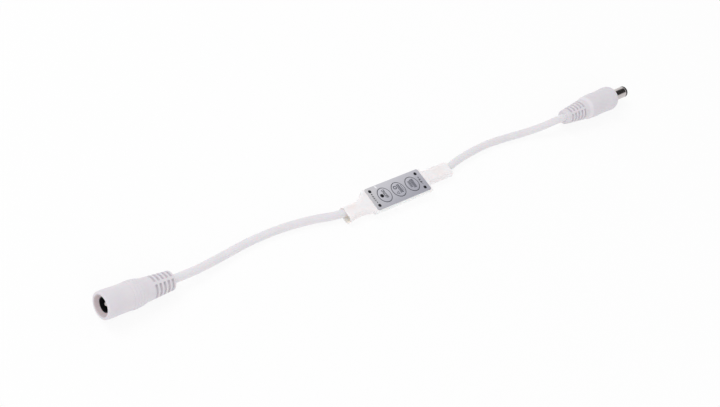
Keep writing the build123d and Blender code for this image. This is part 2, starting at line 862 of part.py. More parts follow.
# Plug overmould: slotted strain relief, shoulder, waisted grip and rounded nose
flange_start = plug_length - barrel_embedded - barrel_flange
flange_end = plug_length - barrel_embedded
barrel_end = plug_length + barrel_projection
plug_chamber_start = flange_start - lug_length - plug_lead_room
with BuildPart() as plug_overmould:
    with BuildSketch(plug_plane):
        with BuildLine():
            nose_start = (plug_length - plug_nose_length, plug_bulge_radius - plug_nose_step)
            shoulder = (plug_shoulder_place, plug_shoulder_radius)
            grip_start = (
                plug_shoulder_place + plug_shoulder_step,
                plug_shoulder_radius - plug_shoulder_step,
            )
            Polyline(
                (0, cable_diameter / 2),
                (0, plug_rear_radius - rear_bevel),
                (rear_bevel, plug_rear_radius),
                (plug_relief_end, plug_collar_radius),
                shoulder,
                grip_start,
            )
            Spline(
                grip_start,
                (plug_swell_place, plug_swell_radius),
                (plug_length - plug_waist_setback, plug_waist_radius),
                (plug_length - plug_bulge_setback, plug_bulge_radius),
                nose_start,
                tangents=((1, 0.05), (1, -0.05)),
            )
            Spline(
                nose_start,
                (plug_length - plug_nose_middle, plug_nose_radius),
                (plug_length, plug_face_radius),
                tangents=((1, -0.05), (0.1, -1)),
            )
            Polyline(
                (plug_length, plug_face_radius),
                (plug_length, barrel_collar_radius),
                (flange_end, barrel_collar_radius),
                (flange_end, barrel_flange_radius),
                (flange_start, barrel_flange_radius),
                (flange_start, lead_chamber_radius),
                (plug_chamber_start, lead_chamber_radius),
                (plug_chamber_start, cable_diameter / 2),
                (0, cable_diameter / 2),
            )
        make_face()
    revolve(axis=plug_axis)
    for half in (0, 180):
        start_angle = half + slot_rib_angle / 2 + plug_roll
        with BuildSketch(plug_plane.rotated((start_angle, 0, 0))):
            for step in range(slot_count):
                place = plug_slot_start + step * plug_slot_pitch
                share = place / plug_relief_end
                surface = plug_rear_radius + (plug_collar_radius - plug_rear_radius) * share
                with Locations((place, surface)):
                    Rectangle(slot_width, 2 * slot_depth)
        revolve(axis=plug_axis, revolution_arc=180 - slot_rib_angle, mode=Mode.SUBTRACT)
plug_overmould.part.label = "plug_overmould"
export_step(plug_overmould.part, "parts/plug_overmould.step")

# Plug barrel: a thin tube with a collar and flange in the overmould and a solder tag
tag_seat = lead_chamber_radius - tag_thickness
with BuildPart() as plug_barrel:
    with BuildSketch(plug_plane):
        with Locations((flange_start, barrel_radius - barrel_wall)):
            Rectangle(
                barrel_flange,
                barrel_flange_radius - barrel_radius + barrel_wall,
                align=(Align.MIN, Align.MIN),
            )
            Rectangle(
                barrel_flange + barrel_embedded,
                barrel_collar_radius - barrel_radius + barrel_wall,
                align=(Align.MIN, Align.MIN),
            )
            Rectangle(barrel_end - flange_start, barrel_wall, align=(Align.MIN, Align.MIN))
    revolve(axis=plug_axis)
    with BuildSketch(across(plug_plane, flange_start)):
        with Locations((0, -tag_seat)):
            Rectangle(lug_width, tag_thickness)
    extrude(amount=-lug_length)
plug_barrel.part.label = "plug_barrel"
export_step(plug_barrel.part, "parts/plug_barrel.step")

# Plug insulator: a liner in the barrel with a ring over its tip and the entry hole
contact_end = barrel_end - contact_setback
contact_start = contact_end - contact_length
liner_start = contact_start - liner_tail
contact_radius = center_hole_radius + contact_wall
liner_hole = contact_radius + contact_clearance
with BuildPart() as plug_tip_insulator:
    with BuildSketch(plug_plane):
        with BuildLine():
            Polyline(
                (liner_start, contact_stem_radius),
                (liner_start, barrel_radius - barrel_wall),
                (barrel_end, barrel_radius - barrel_wall),
                (barrel_end, barrel_radius),
                (barrel_end + tip_length, barrel_radius),
                (barrel_end + tip_length, center_hole_radius),
                (barrel_end, center_hole_radius),
                (barrel_end, liner_hole),
                (contact_start, liner_hole),
                (contact_start, contact_stem_radius),
                close=True,
            )
        make_face()
    revolve(axis=plug_axis)
    tip_edges = plug_tip_insulator.edges().group_by(plug_axis)[-1].sort_by(SortBy.RADIUS)
    chamfer(tip_edges[0], tip_lead_in)
    fillet(tip_edges[-1], tip_edge)
plug_tip_insulator.part.label = "plug_tip_insulator"
export_step(plug_tip_insulator.part, "parts/plug_tip_insulator.step")

# Plug centre contact: a slit tube behind the entry hole, a stem and a lug
contact_back = flange_start - contact_tail
with BuildPart() as plug_center_contact:
    with BuildSketch(across(plug_plane, contact_start)):
        Circle(contact_radius)
    extrude(amount=contact_length)
    with BuildSketch(across(plug_plane, contact_start + contact_wall)):
        Circle(center_hole_radius)
    extrude(amount=contact_length, mode=Mode.SUBTRACT)
    with BuildSketch(across(plug_plane, contact_start + 2 * contact_wall)):
        Rectangle(contact_slit, 3 * contact_radius)
    extrude(amount=contact_length, mode=Mode.SUBTRACT)
    with BuildSketch(across(plug_plane, contact_start)):
        Circle(contact_stem_radius)
    extrude(amount=contact_back - contact_start)
    with BuildSketch(across(plug_plane, contact_back)):
        with Locations((0, lug_level)):
            Rectangle(lug_width, lug_thickness)
    extrude(amount=-lug_length)
plug_center_contact.part.label = "plug_center_contact"
export_step(plug_center_contact.part, "parts/plug_center_contact.step")

# Cable jacket and lead wires inside the plug
with BuildPart() as plug_cable_end:
    with BuildSketch(across(plug_plane, 0)):
        Circle(cable_diameter / 2)
    extrude(amount=plug_chamber_start)
plug_cable_end.part.label = "plug_cable_end"
export_step(plug_cable_end.part, "parts/plug_cable_end.step")

tag_lead_side = tag_seat - tag_thickness / 2 - core_diameter / 2
contact_strip = contact_back - lug_length - strip_gap
tag_strip = flange_start - lug_length - strip_gap
with BuildPart() as plug_lead_wires:
    tag_lead = [
        along(plug_plane, plug_chamber_start, -lead_side),
        along(plug_plane, plug_chamber_start + lead_bend, -lead_side),
        along(plug_plane, tag_strip - lead_bend, -tag_lead_side),
        along(plug_plane, tag_strip, -tag_lead_side),
    ]
    add(insulated_wire(tag_lead, lead_bend))
    with BuildSketch(across(plug_plane, plug_chamber_start)):
        with Locations((0, lead_side)):
            Circle(conductor_diameter / 2)
    extrude(amount=contact_strip - plug_chamber_start)
    with BuildSketch(across(plug_plane, contact_strip)):
        with Locations((0, lead_side)):
            Circle(core_diameter / 2)
    extrude(amount=stripped_length)
plug_lead_wires.part.label = "plug_lead_wires"
export_step(plug_lead_wires.part, "parts/plug_lead_wires.step")

# Free stretches of cable, laid as they lie beside the sleeve
input_route = [
    along(jack_plane, jack_length),
    along(jack_plane, jack_length + jack_straight),
    (-97.5, 2.0, 2.4),
    (-80.0, 4.4, 1.78),
    (-62.0, 4.7, 1.78),
    (-46.5, 2.75, 1.9),
    (-37.5, input_mouth_y, cable_level),
    (sleeve_left, input_mouth_y, cable_level),
]
output_route = [
    (sleeve_right, output_mouth_y, cable_level),
    (37.5, output_mouth_y, cable_level),
    (46.5, 4.5, 1.9),
    (62.0, 5.9, 1.78),
    (80.0, 4.5, 1.8),
    (92.0, 2.9, 3.2),
    along(plug_plane, -plug_straight),
    along(plug_plane, 0),
]
for name, route in (("input_cable", input_route), ("output_cable", output_route)):
    with BuildPart() as cable:
        with BuildLine() as cable_path:
            FilletPolyline(*route, radius=bend_radii(name, route))
        with BuildSketch(Plane(origin=route[0], z_dir=Vector(route[1]) - Vector(route[0]))):
            Circle(cable_diameter / 2)
        sweep()
    cable.part.label = name
    export_step(cable.part, f"parts/{name}.step")
    path_length = sum(edge.length for edge in cable_path.edges())
    section = pi * cable_diameter**2 / 4
    print(name, "length", round(path_length, 1), "volume share", cable.part.volume / section / path_length)
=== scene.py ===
from math import cos, hypot, pi, radians, sin

import bpy
from mathutils import Matrix, Vector


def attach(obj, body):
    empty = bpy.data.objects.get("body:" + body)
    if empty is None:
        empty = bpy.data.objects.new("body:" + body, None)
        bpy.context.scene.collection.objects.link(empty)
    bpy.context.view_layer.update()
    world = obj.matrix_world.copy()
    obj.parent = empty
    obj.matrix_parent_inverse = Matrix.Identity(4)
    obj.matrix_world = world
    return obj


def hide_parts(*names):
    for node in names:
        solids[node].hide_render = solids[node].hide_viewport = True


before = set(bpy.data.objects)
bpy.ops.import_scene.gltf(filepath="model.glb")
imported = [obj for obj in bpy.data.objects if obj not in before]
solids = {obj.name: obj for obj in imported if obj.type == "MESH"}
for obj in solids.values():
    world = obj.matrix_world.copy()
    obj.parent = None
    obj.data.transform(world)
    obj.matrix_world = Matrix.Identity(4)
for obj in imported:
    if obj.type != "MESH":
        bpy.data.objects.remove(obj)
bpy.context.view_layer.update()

mm = 0.001


# Circuit board. A strip of glass-fibre laminate with a green lacquer over copper
# tracks. It fills the sleeve's hollow from side to side and carries the electronics.


class Value:
    """A socket of a node tree, which takes part in plain sums."""

    def __init__(self, tree, socket):
        self.tree = tree
        self.socket = socket

    def sum(self, operation, other, swapped=False):
        pair = {0: other, 1: self} if swapped else {0: self, 1: other}
        return self.tree.node("ShaderNodeMath", {"operation": operation}, pair)

    def __add__(self, other):
        return self.sum("ADD", other)

    def __sub__(self, other):
        return self.sum("SUBTRACT", other)

    def __rsub__(self, other):
        return self.sum("SUBTRACT", other, True)

    def __mul__(self, other):
        return self.sum("MULTIPLY", other)

    def __truediv__(self, other):
        return self.sum("DIVIDE", other)

    def __mod__(self, other):
        return self.sum("FLOORED_MODULO", other)

    def __pow__(self, other):
        return self.sum("POWER", other)

    def __gt__(self, other):
        return self.sum("GREATER_THAN", other)

    def __lt__(self, other):
        return self.sum("LESS_THAN", other)

    def __abs__(self):
        return self.sum("ABSOLUTE", 0.0)

    def least(self, other):
        return self.sum("MINIMUM", other)

    def most(self, other):
        return self.sum("MAXIMUM", other)

    __radd__ = __add__
    __rmul__ = __mul__


class Tree:
    """A node tree that is written as expressions."""

    def __init__(self, tree):
        self.nodes = tree.nodes
        self.links = tree.links

    def node(self, kind, settings=None, values=None, out=0):
        """A node of that kind: its settings first, then its sockets' values or links."""
        made = self.nodes.new(kind)
        for name, setting in (settings or {}).items():
            setattr(made, name, setting)
        for key, value in (values or {}).items():
            if isinstance(value, Value):
                self.links.new(value.socket, made.inputs[key])
            else:
                made.inputs[key].default_value = value
        return Value(self, made.outputs[out])

    def step(self, value, low, high):
        """Rises softly from 0 at low to 1 at high."""
        sizes = {"Value": value, "From Min": low, "From Max": high}
        return self.node("ShaderNodeMapRange", {"interpolation_type": "SMOOTHSTEP"}, sizes)

    def rays(self, *kinds):
        """Whether the ray that asks is of each kind."""
        return [self.node("ShaderNodeLightPath", out=f"Is {kind} Ray") for kind in kinds]

    def parts(self, vector):
        """A vector's three numbers."""
        return [self.node("ShaderNodeSeparateXYZ", None, {0: vector}, n) for n in range(3)]


class Finish(Tree):
    """A material: the shader's plain numbers, then what varies over the surface."""

    def __init__(self, name, **numbers):
        self.material = bpy.data.materials.new(name)
        self.material.use_nodes = True
        super().__init__(self.material.node_tree)
        self.shader = self.nodes["Principled BSDF"]
        for key, number in numbers.items():
            title = key.replace("_", " ").title().replace("Ior", "IOR")
            self.shader.inputs[title].default_value = number
        self.place = self.node("ShaderNodeTexCoord", out="Object")
        self.x, self.y, self.z = self.parts(self.place)

    def grain(self, size, stretch=(1, 1, 1), detail=2.0):
        """Noise with patches of about that size in mm, drawn out where stretch is small."""
        place = self.node("ShaderNodeMapping", None, {"Vector": self.place, "Scale": stretch})
        sizes = {"Vector": place, "Scale": 1 / (size * mm), "Detail": detail}
        return self.node("ShaderNodeTexNoise", None, sizes)

    def blend(self, share, first, second):
        """A colour between two."""
        values = {0: share, 6: first, 7: second}
        return self.node("ShaderNodeMix", {"data_type": "RGBA"}, values, 2)

    def lay(self, relief=None, depth=0.0, **varied):
        """Links what varies, and a relief of that depth in mm, and gives the material."""
        for key, value in varied.items():
            self.links.new(value.socket, self.shader.inputs[key.replace("_", " ").title()])
        if relief is not None:
            bump = self.node("ShaderNodeBump", None, {"Distance": depth * mm, "Height": relief})
            self.links.new(bump.socket, self.shader.inputs["Normal"])
        return self.material


def rgb(red, green, blue):
    """A colour as it is read off a screen, 0 to 255, as the shader wants it."""
    shares = [channel / 255 for channel in (red, green, blue)]
    return (*[s / 12.92 if s < 0.04045 else ((s + 0.055) / 1.055) ** 2.4 for s in shares], 1)


def coat(material, *names):
    """Gives CAD nodes a material."""
    for name in names:
        solids[name].data.materials.clear()
        solids[name].data.materials.append(material)


track_pitch, track_width = 0.9 * mm, 0.34 * mm
board = Finish("green_lacquer", roughness=0.35, coat_weight=0.4, coat_roughness=0.2)
lane = abs((board.y % track_pitch) - track_pitch / 2) < track_width / 2
broken = board.grain(2.2, (0.4, 1, 1), 0.0) > 0.5
track = lane * broken
mask_colour = board.blend(track, rgb(12, 74, 40), rgb(30, 104, 56))
sawn_end = board.step(abs(board.x + 1.2 * mm), 15.8 * mm, 15.92 * mm)
cloudy = board.grain(0.3)
coat(
    board.lay(
        relief=track + 0.2 * cloudy,
        depth=0.02,
        base_color=board.blend(sawn_end, mask_colour, rgb(150, 146, 104)),
        roughness=0.3 + 0.2 * cloudy,
    ),
    "circuit_board",
)


# Electronic parts under the board: a power transistor, a controller and a regulator in
# black moulded resin with tinned legs, two ceramic capacitors, and four chip resistors.
def package(name, middle, half_width):
    """Matt black resin with tinned legs beyond the body's sides."""
    resin = Finish(f"{name}_resin_and_legs")
    legs = abs(resin.y - middle * mm) > half_width * mm
    fine = resin.grain(0.06)
    coat(
        resin.lay(
            relief=fine,
            depth=0.01,
            base_color=resin.blend(
                legs, resin.blend(fine, rgb(26, 26, 28), rgb(44, 44, 46)), rgb(196, 196, 190)
            ),
            metallic=legs,
            roughness=0.62 - 0.3 * legs + 0.15 * fine,
        ),
        name,
    )


package("mosfet", middle=0, half_width=2.78)
package("microcontroller", middle=0, half_width=2.19)
package("voltage_regulator", middle=2.2, half_width=0.64)

first_capacitor, second_capacitor = 5.82 * mm, 9.22 * mm
ceramic = Finish("fired_ceramic", roughness=0.45)
off_middle = abs(ceramic.x - first_capacitor).least(abs(ceramic.x - second_capacitor))
caps = off_middle > 0.65 * mm
speckled = ceramic.grain(0.08)
coat(
    ceramic.lay(
        relief=speckled,
        depth=0.006,
        base_color=ceramic.blend(
            caps, ceramic.blend(speckled, rgb(158, 122, 84), rgb(184, 148, 104)), rgb(200, 198, 190)
        ),
        metallic=caps,
        roughness=0.5 - 0.15 * caps,
    ),
    "ceramic_capacitors",
)

first_resistor, resistor_pitch = 3.12 * mm, 2.2 * mm
chip = Finish("glazed_chip")
along = abs((chip.x - first_resistor + resistor_pitch / 2) % resistor_pitch - resistor_pitch / 2)
ends = along > 0.5 * mm
glaze = chip.z < 1.06 * mm
spotted = chip.grain(0.05)
coat(
    chip.lay(
        relief=spotted,
        depth=0.004,
        base_color=chip.blend(
            ends, chip.blend(glaze, rgb(226, 224, 216), rgb(24, 24, 26)), rgb(198, 197, 190)
        ),
        metallic=ends,
        roughness=0.5 - 0.2 * glaze + 0.1 * spotted,
    ),
    "chip_resistors",
)


# Tactile switches on the board, one under each key: a black nylon base with a pocket, a
# domed snap disc of spring steel in it, a nylon stem, a folded cover and tinned legs.
def nylon(name, dark, light):
    """Moulded nylon, with a fine matt skin."""
    skin = Finish(name)
    fine = skin.grain(0.05)
    wide = skin.grain(0.8)
    colour = skin.blend(wide, dark, light)
    return skin.lay(relief=fine, depth=0.006, base_color=colour, roughness=0.42 + 0.2 * fine)


def rolled(name, colour, other, roughness, direction=(1, 8, 8)):
    """Sheet metal with fine rolling marks along one way."""
    sheet = Finish(name, metallic=1.0)
    marks = sheet.grain(0.06, direction, 3.0)
    stain = sheet.grain(1.4)
    return sheet.lay(
        relief=marks,
        depth=0.002,
        base_color=sheet.blend(stain, colour, other),
        roughness=roughness + 0.16 * marks,
    )


places = ("left", "middle", "right")
for piece, material in (
    ("base", nylon("black_nylon", rgb(30, 30, 33), rgb(40, 40, 43))),
    ("stem", nylon("ivory_nylon", rgb(222, 216, 200), rgb(233, 228, 214))),
    ("dome", rolled("spring_steel", rgb(196, 194, 188), rgb(180, 178, 172), 0.2)),
    ("cover", rolled("cover_steel", rgb(204, 204, 202), rgb(190, 190, 188), 0.28)),
):
    coat(material, *[f"switch_{piece}_{place}" for place in places])
tinned = rolled("tinned_legs", rgb(206, 205, 200), rgb(188, 187, 180), 0.3, (8, 1, 8))
coat(tinned, "switch_terminals")


# Wires and solder. Two cores leave each cable's jacket in red and black insulation, are
# stripped at the tip, and end under a cone of solder on the board's pads.
def insulated(name, colour, other, from_x, way):
    """Smooth insulation up to an edge, and bare tinned strands beyond it."""
    core = Finish(f"{name}_insulation", specular_ior_level=0.45)
    bare = (core.x - from_x * mm) * way > 0.0
    dull = core.grain(0.5)
    strands = core.grain(0.09, (0.3, 1.6, 1.6))
    coat(
        core.lay(
            relief=strands * bare + 0.15 * dull,
            depth=0.02,
            base_color=core.blend(bare, core.blend(dull, colour, other), rgb(206, 186, 160)),
            metallic=bare,
            roughness=0.4 + 0.1 * dull,
        ),
        name,
    )


red, deep_red = rgb(196, 34, 30), rgb(168, 22, 22)
black, soft_black = rgb(26, 26, 28), rgb(40, 40, 42)
for side, strip_x, way in (("input", -16.2, 1), ("output", 13.8, -1)):
    insulated(f"{side}_positive_wire", red, deep_red, strip_x, way)
    insulated(f"{side}_negative_wire", black, soft_black, strip_x, way)

solder = Finish("solder", metallic=1.0)
flow = solder.grain(0.5)
frost = solder.grain(0.07)
coat(
    solder.lay(
        relief=flow + 0.2 * frost,
        depth=0.05,
        base_color=solder.blend(flow, rgb(214, 214, 212), rgb(186, 186, 184)),
        roughness=0.18 + 0.22 * frost,
    ),
    "solder_joints",
)


# Cable jackets. The round white PVC jacket of both cables, extruded over two cores. Its
# ends are held in the sleeve's necks and in the connectors' mouldings.
jacket = Finish(
    "white_cable_jacket", specular_ior_level=0.4, subsurface_weight=0.12, subsurface_scale=0.4 * mm
)
draw_lines = jacket.grain(0.16, (0.08, 1, 1), 3.0)
patches = jacket.grain(5)
white_jacket = jacket.lay(
    relief=draw_lines,
    depth=0.012,
    base_color=jacket.blend(patches, rgb(229, 226, 230), rgb(237, 234, 238)),
    roughness=0.46 + 0.12 * draw_lines,
)
coat(white_jacket, "input_cable_end", "output_cable_end", "jack_cable_end", "plug_cable_end")


# Heat-shrink sleeve. A milky film tube shrunk over the board: flat and wide on it, drawn
# in fast at its corners, and open round both cables, with a thin line of hot-melt inside.
def placed(name, data):
    """A new object of the scene that holds the data."""
    piece = bpy.data.objects.new(name, data)
    bpy.context.scene.collection.objects.link(piece)
    return piece


def plain_mesh(piece):
    """A new mesh of what the piece shows, with its modifiers done."""
    seen = piece.evaluated_get(bpy.context.evaluated_depsgraph_get())
    return bpy.data.meshes.new_from_object(seen)


def shown(name, points, faces, *materials, sharp=35, smooth=True):
    """A new mesh piece, smooth but for edges sharper than an angle."""
    mesh = bpy.data.meshes.new(name)
    mesh.from_pydata(points, [], faces)
    for material in materials:
        mesh.materials.append(material)
    if smooth:
        mesh.shade_smooth()
        mesh.set_sharp_from_angle(angle=radians(sharp))
    return placed(name, mesh)


def rings_to_faces(rings, count, closed=False):
    """Faces between rings of the same count of points, one after another."""
    faces = []
    for ring in range(rings if closed else rings - 1):
        here, there = ring * count, (ring + 1) % rings * count
        for n in range(count):
            m = (n + 1) % count
            faces.append((here + n, here + m, there + m, there + n))
    return faces


def full_turn(count):
    """Angles of a whole turn in that many steps."""
    return [n / count * 2 * pi for n in range(count)]


def rounded_section(x, middle, width, height, corner, belly, level):
    """Points round a section square to X, with one radius above and another below."""
    arc_steps, flat_steps = 10, 24
    spots = []
    for quarter in range(4):
        round_here = corner if quarter < 2 else belly
        turn = quarter * pi / 2
        side_y = 1 if quarter in (0, 3) else -1
        side_z = 1 if quarter < 2 else -1
        for n in range(arc_steps + 1):
            angle = turn + n / arc_steps * pi / 2
            y = side_y * (width / 2 - round_here) + round_here * cos(angle)
            spots.append((y, side_z * (height / 2 - round_here) + round_here * sin(angle)))
        if quarter in (0, 2):
            for n in range(1, flat_steps):
                share = 1 - 2 * n / flat_steps
                spots.append(((width / 2 - round_here) * share * side_y, side_z * height / 2))
    return [(x * mm, (middle + y) * mm, (level + z) * mm) for y, z in spots]


sleeve_width, sleeve_height, sleeve_wall = 12.2, 4.3, 0.3
sleeve_ends = (-32.0, 32.0)
sleeve_body = (-17.5, 15.1)
body_corner, body_belly, neck_round = 0.6, 3.4, 2.0
left_neck = {"x": -25.1, "width": 6.6, "y": -0.5, "lean": 0.6, "mouth_width": 7.5, "mouth_y": -1.05}
right_neck = {"x": 17.0, "width": 7.2, "y": 1.2, "lean": 0.0, "mouth_width": 7.2, "mouth_y": 1.15}


def sleeve_form(x):
    """Middle, width, upper and lower corner of the sleeve at x."""
    if sleeve_body[0] <= x <= sleeve_body[1]:
        return 0.0, sleeve_width, body_corner, body_belly
    side = int(x > 0)
    neck, start, end = (left_neck, right_neck)[side], sleeve_body[side], sleeve_ends[side]
    share = (x - start) / (neck["x"] - start)
    if share < 1:
        rest = (1 - share) ** 2.2
        lean_end = 0.3
        leaning = neck["lean"] * sin(min(share / lean_end, 1) * pi)
        middle = neck["y"] * (1 - rest) + leaning
        width = neck["width"] + (sleeve_width - neck["width"]) * rest
        corner = neck_round + (body_corner - neck_round) * rest
        return middle, width, corner, neck_round + (body_belly - neck_round) * rest
    share = (x - neck["x"]) / (end - neck["x"])
    middle = neck["y"] + (neck["mouth_y"] - neck["y"]) * share
    width = neck["width"] + (neck["mouth_width"] - neck["width"]) * share
    return middle, width, neck_round, neck_round


def shrink_ripple(x, n, count):
    """Small folds where the film is drawn in, and a mouth that isn't cut quite square."""
    body_middle, folds_at, folds_reach, fold_height = -1.2, 19.5, 4.5, 0.05
    mouth_from, mouth_bend = 30.5, 0.1
    drawn = max(0.0, 1 - abs(abs(x - body_middle) - folds_at) / folds_reach)
    mouth = max(0.0, abs(x) - mouth_from) / (sleeve_ends[1] - mouth_from)
    turn = n / count * 2 * pi
    folds = fold_height * drawn * sin(5 * turn + 0.6 * x)
    return folds + mouth_bend * mouth * sin(2 * turn + 0.8)


def sleeve_skin(inset):
    """Rings of the outer skin, or of the inner one where inset by the wall."""
    fine_step, coarse_step = 0.2, 0.8
    snip_from, snip_depth, snip_slant = 26.0, 1.2, 0.1
    stops = []
    x = sleeve_ends[0]
    while x < sleeve_ends[1] - 1e-6:
        stops.append(x)
        left_funnel = sleeve_body[0] - 8 < x < sleeve_body[0]
        right_funnel = sleeve_body[1] - 0.1 < x < right_neck["x"] + fine_step
        at_mouth = x < sleeve_ends[0] + 1 or x > sleeve_ends[1] - 3
        x += fine_step if left_funnel or right_funnel or at_mouth else coarse_step
        for edge_x in (*sleeve_body, *sleeve_ends):
            if stops[-1] < edge_x - 1e-6 < x:
                x = edge_x
    stops.append(sleeve_ends[1])
    rings = []
    for x in stops:
        middle, width, corner, belly = sleeve_form(x)
        sizes = [width - 2 * inset, sleeve_height - 2 * inset, corner - inset, belly - inset]
        ring = rounded_section(x, middle, *sizes, sleeve_height / 2)
        squeeze = max(0.0, (x - snip_from) / (sleeve_ends[1] - snip_from))
        moved = []
        for n, (px, py, pz) in enumerate(ring):
            out = Vector((0, py - middle * mm, (pz - sleeve_height / 2 * mm) * 0.6)).normalized()
            shift = shrink_ripple(x, n, len(ring)) * mm
            snip = (snip_depth + snip_slant * (py / mm - right_neck["mouth_y"])) * mm
            z = min(max(pz + out.z * shift, inset * mm), (sleeve_height - inset) * mm)
            moved.append((px - snip * squeeze, py + out.y * shift, z))
        rings.append(moved)
    return rings


film = Finish(
    "milky_shrink_film",
    specular_ior_level=0.5,
    subsurface_weight=0.35,
    subsurface_scale=0.7 * mm,
    subsurface_radius=(1.0, 0.75, 0.7),
)
drawn = film.grain(0.35, (0.15, 1, 1), 3.0)
clouds = film.grain(3)
# The cores below the film show as a faint warm shade in both funnels.
left_warm = 1 - film.step(abs(film.x + 27.5 * mm), 0.5 * mm, 4.5 * mm)
right_warm = 1 - film.step(abs(film.x - 24.0 * mm), 1 * mm, 5 * mm)
side_red = 1 - film.step(abs(film.y - 1.2 * mm), 0.6 * mm, 2.6 * mm)
warm = (left_warm + right_warm) * (0.4 + 0.6 * side_red)
film_white = film.blend(clouds, rgb(251, 244, 246), rgb(255, 248, 250))
# Painted light: the film's two long sides are painted almost white, as the light washes them out.
painted_bright_sides = film.step(abs(film.y), 5.3 * mm, 5.9 * mm)
outer_film = film.lay(
    relief=drawn + 0.3 * clouds,
    depth=0.03,
    base_color=film.blend(
        painted_bright_sides, film.blend(0.7 * warm, film_white, rgb(253, 240, 238)), rgb(254, 254, 254)
    ),
    roughness=0.4 + 0.15 * drawn,
)
# The faint emission stands for light that comes through the thin milky film.
melt = Finish(
    "hot_melt_lining",
    roughness=0.35,
    subsurface_weight=1.0,
    subsurface_scale=0.8 * mm,
    subsurface_radius=(1.0, 0.9, 0.8),
    emission_color=rgb(255, 248, 240),
    emission_strength=0.13,
)
blobs = melt.grain(0.8)
lining = melt.lay(
    relief=blobs,
    depth=0.06,
    base_color=melt.blend(blobs, rgb(238, 232, 222), rgb(250, 246, 240)),
)

outer = sleeve_skin(0.0)
inner = sleeve_skin(sleeve_wall)
ring_size = len(outer[0])
points = [p for ring in outer + inner[::-1] for p in ring]
faces = rings_to_faces(len(outer) * 2, ring_size, closed=True)
sleeve = shown("heat_shrink_film", points, [f[::-1] for f in faces], outer_film, lining, sharp=30)
inside_from = len(outer) * ring_size
for face in sleeve.data.polygons:
    face.material_index = int(min(face.vertices) >= inside_from)

key_places = (-9.58, -1.38, 6.82)
key_half_x, key_half_y, key_gap = 3.3, 3.575, 0.15
punch_sides, punch_foot, punch_top = 72, 3.7, 4.8
for key_x in key_places:
    cut = []
    for z in (punch_foot, punch_top):
        for turn in full_turn(punch_sides):
            x = key_x + (key_half_x + key_gap) * cos(turn)
            cut.append((x * mm, (key_half_y + key_gap) * sin(turn) * mm, z * mm))
    lids = [tuple(range(punch_sides))[::-1], tuple(range(punch_sides, 2 * punch_sides))]
    cutter = shown("oval_punch", cut, rings_to_faces(2, punch_sides) + lids, smooth=False)
    opening = sleeve.modifiers.new("opening", "BOOLEAN")
    opening.operation, opening.object, opening.solver = "DIFFERENCE", cutter, "EXACT"
    opened = plain_mesh(sleeve)
    sleeve.modifiers.clear()
    sleeve.data = opened
    bpy.data.objects.remove(cutter)
sleeve.data.set_sharp_from_angle(angle=radians(30))
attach(sleeve, "dimmer")
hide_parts("heat_shrink_sleeve")


# Face label. A thin silver-grey film stuck on the sleeve, with rounded corners and an
# oval opening at each key. Black register dots and generic marks are printed on it.
label_left, label_length = -17.3, 31.6
label_middle = label_left + label_length / 2
label_top = 4.5


def painted_shade_fall(finish):
    """How far the painted shade has fallen across the face, from its upper left to its lower right.
    """
    return (finish.x - finish.y * 3.6) / (63 * mm) + 0.52


def nearest_oval(finish, half_x, half_y):
    """How far out of the nearest key's middle a point lies, where 1 is on the oval."""
    near = None
    for key_x in key_places:
        u = (finish.x - key_x * mm) / (half_x * mm)
        v = finish.y / (half_y * mm)
        far = (u * u + v * v) ** 0.5
        near = far if near is None else near.least(far)
    return near


label = Finish("silver_grey_print", specular_ior_level=0.5, coat_weight=0.25, coat_roughness=0.3)
flakes = label.grain(0.05)
broad = label.grain(6)
# Painted shade: the grey darkens from the label's upper left to its lower right.
painted_shade = label.step(painted_shade_fall(label) + 0.12 * (broad - 0.5), 0.0, 1.0)
from_left = label.step(label.x, -17 * mm, -9 * mm)
pale_grey = label.blend(from_left, rgb(207, 205, 208), rgb(207, 206, 213))
grey = label.blend(painted_shade, pale_grey, rgb(170, 170, 181))
# A painted highlight: a pale spot of glare near the upper left corner.
off_spot_x = abs(label.x + 11.2 * mm + 0.3 * (label.y - 5.0 * mm)) / (0.42 * mm)
off_spot_y = abs(label.y - 5.0 * mm) / (0.8 * mm)
painted_highlight_spot = 1 - label.step(off_spot_x * off_spot_x + off_spot_y * off_spot_y, 0.0, 1.6)
grey_with_painted_highlight = label.blend(painted_highlight_spot, grey, rgb(250, 250, 252))
near_key = nearest_oval(label, key_half_x + key_gap, key_half_y + key_gap)
# Painted shade: a dark ring round each key opening, widening the shade of the gap.
outline = 1 - label.step(near_key, 1.015, 1.045)
coat(
    label.lay(
        relief=flakes,
        depth=0.003,
        base_color=label.blend(outline, grey_with_painted_highlight, rgb(96, 97, 106)),
        roughness=0.36 + 0.14 * flakes,
    ),
    "face_label",
)


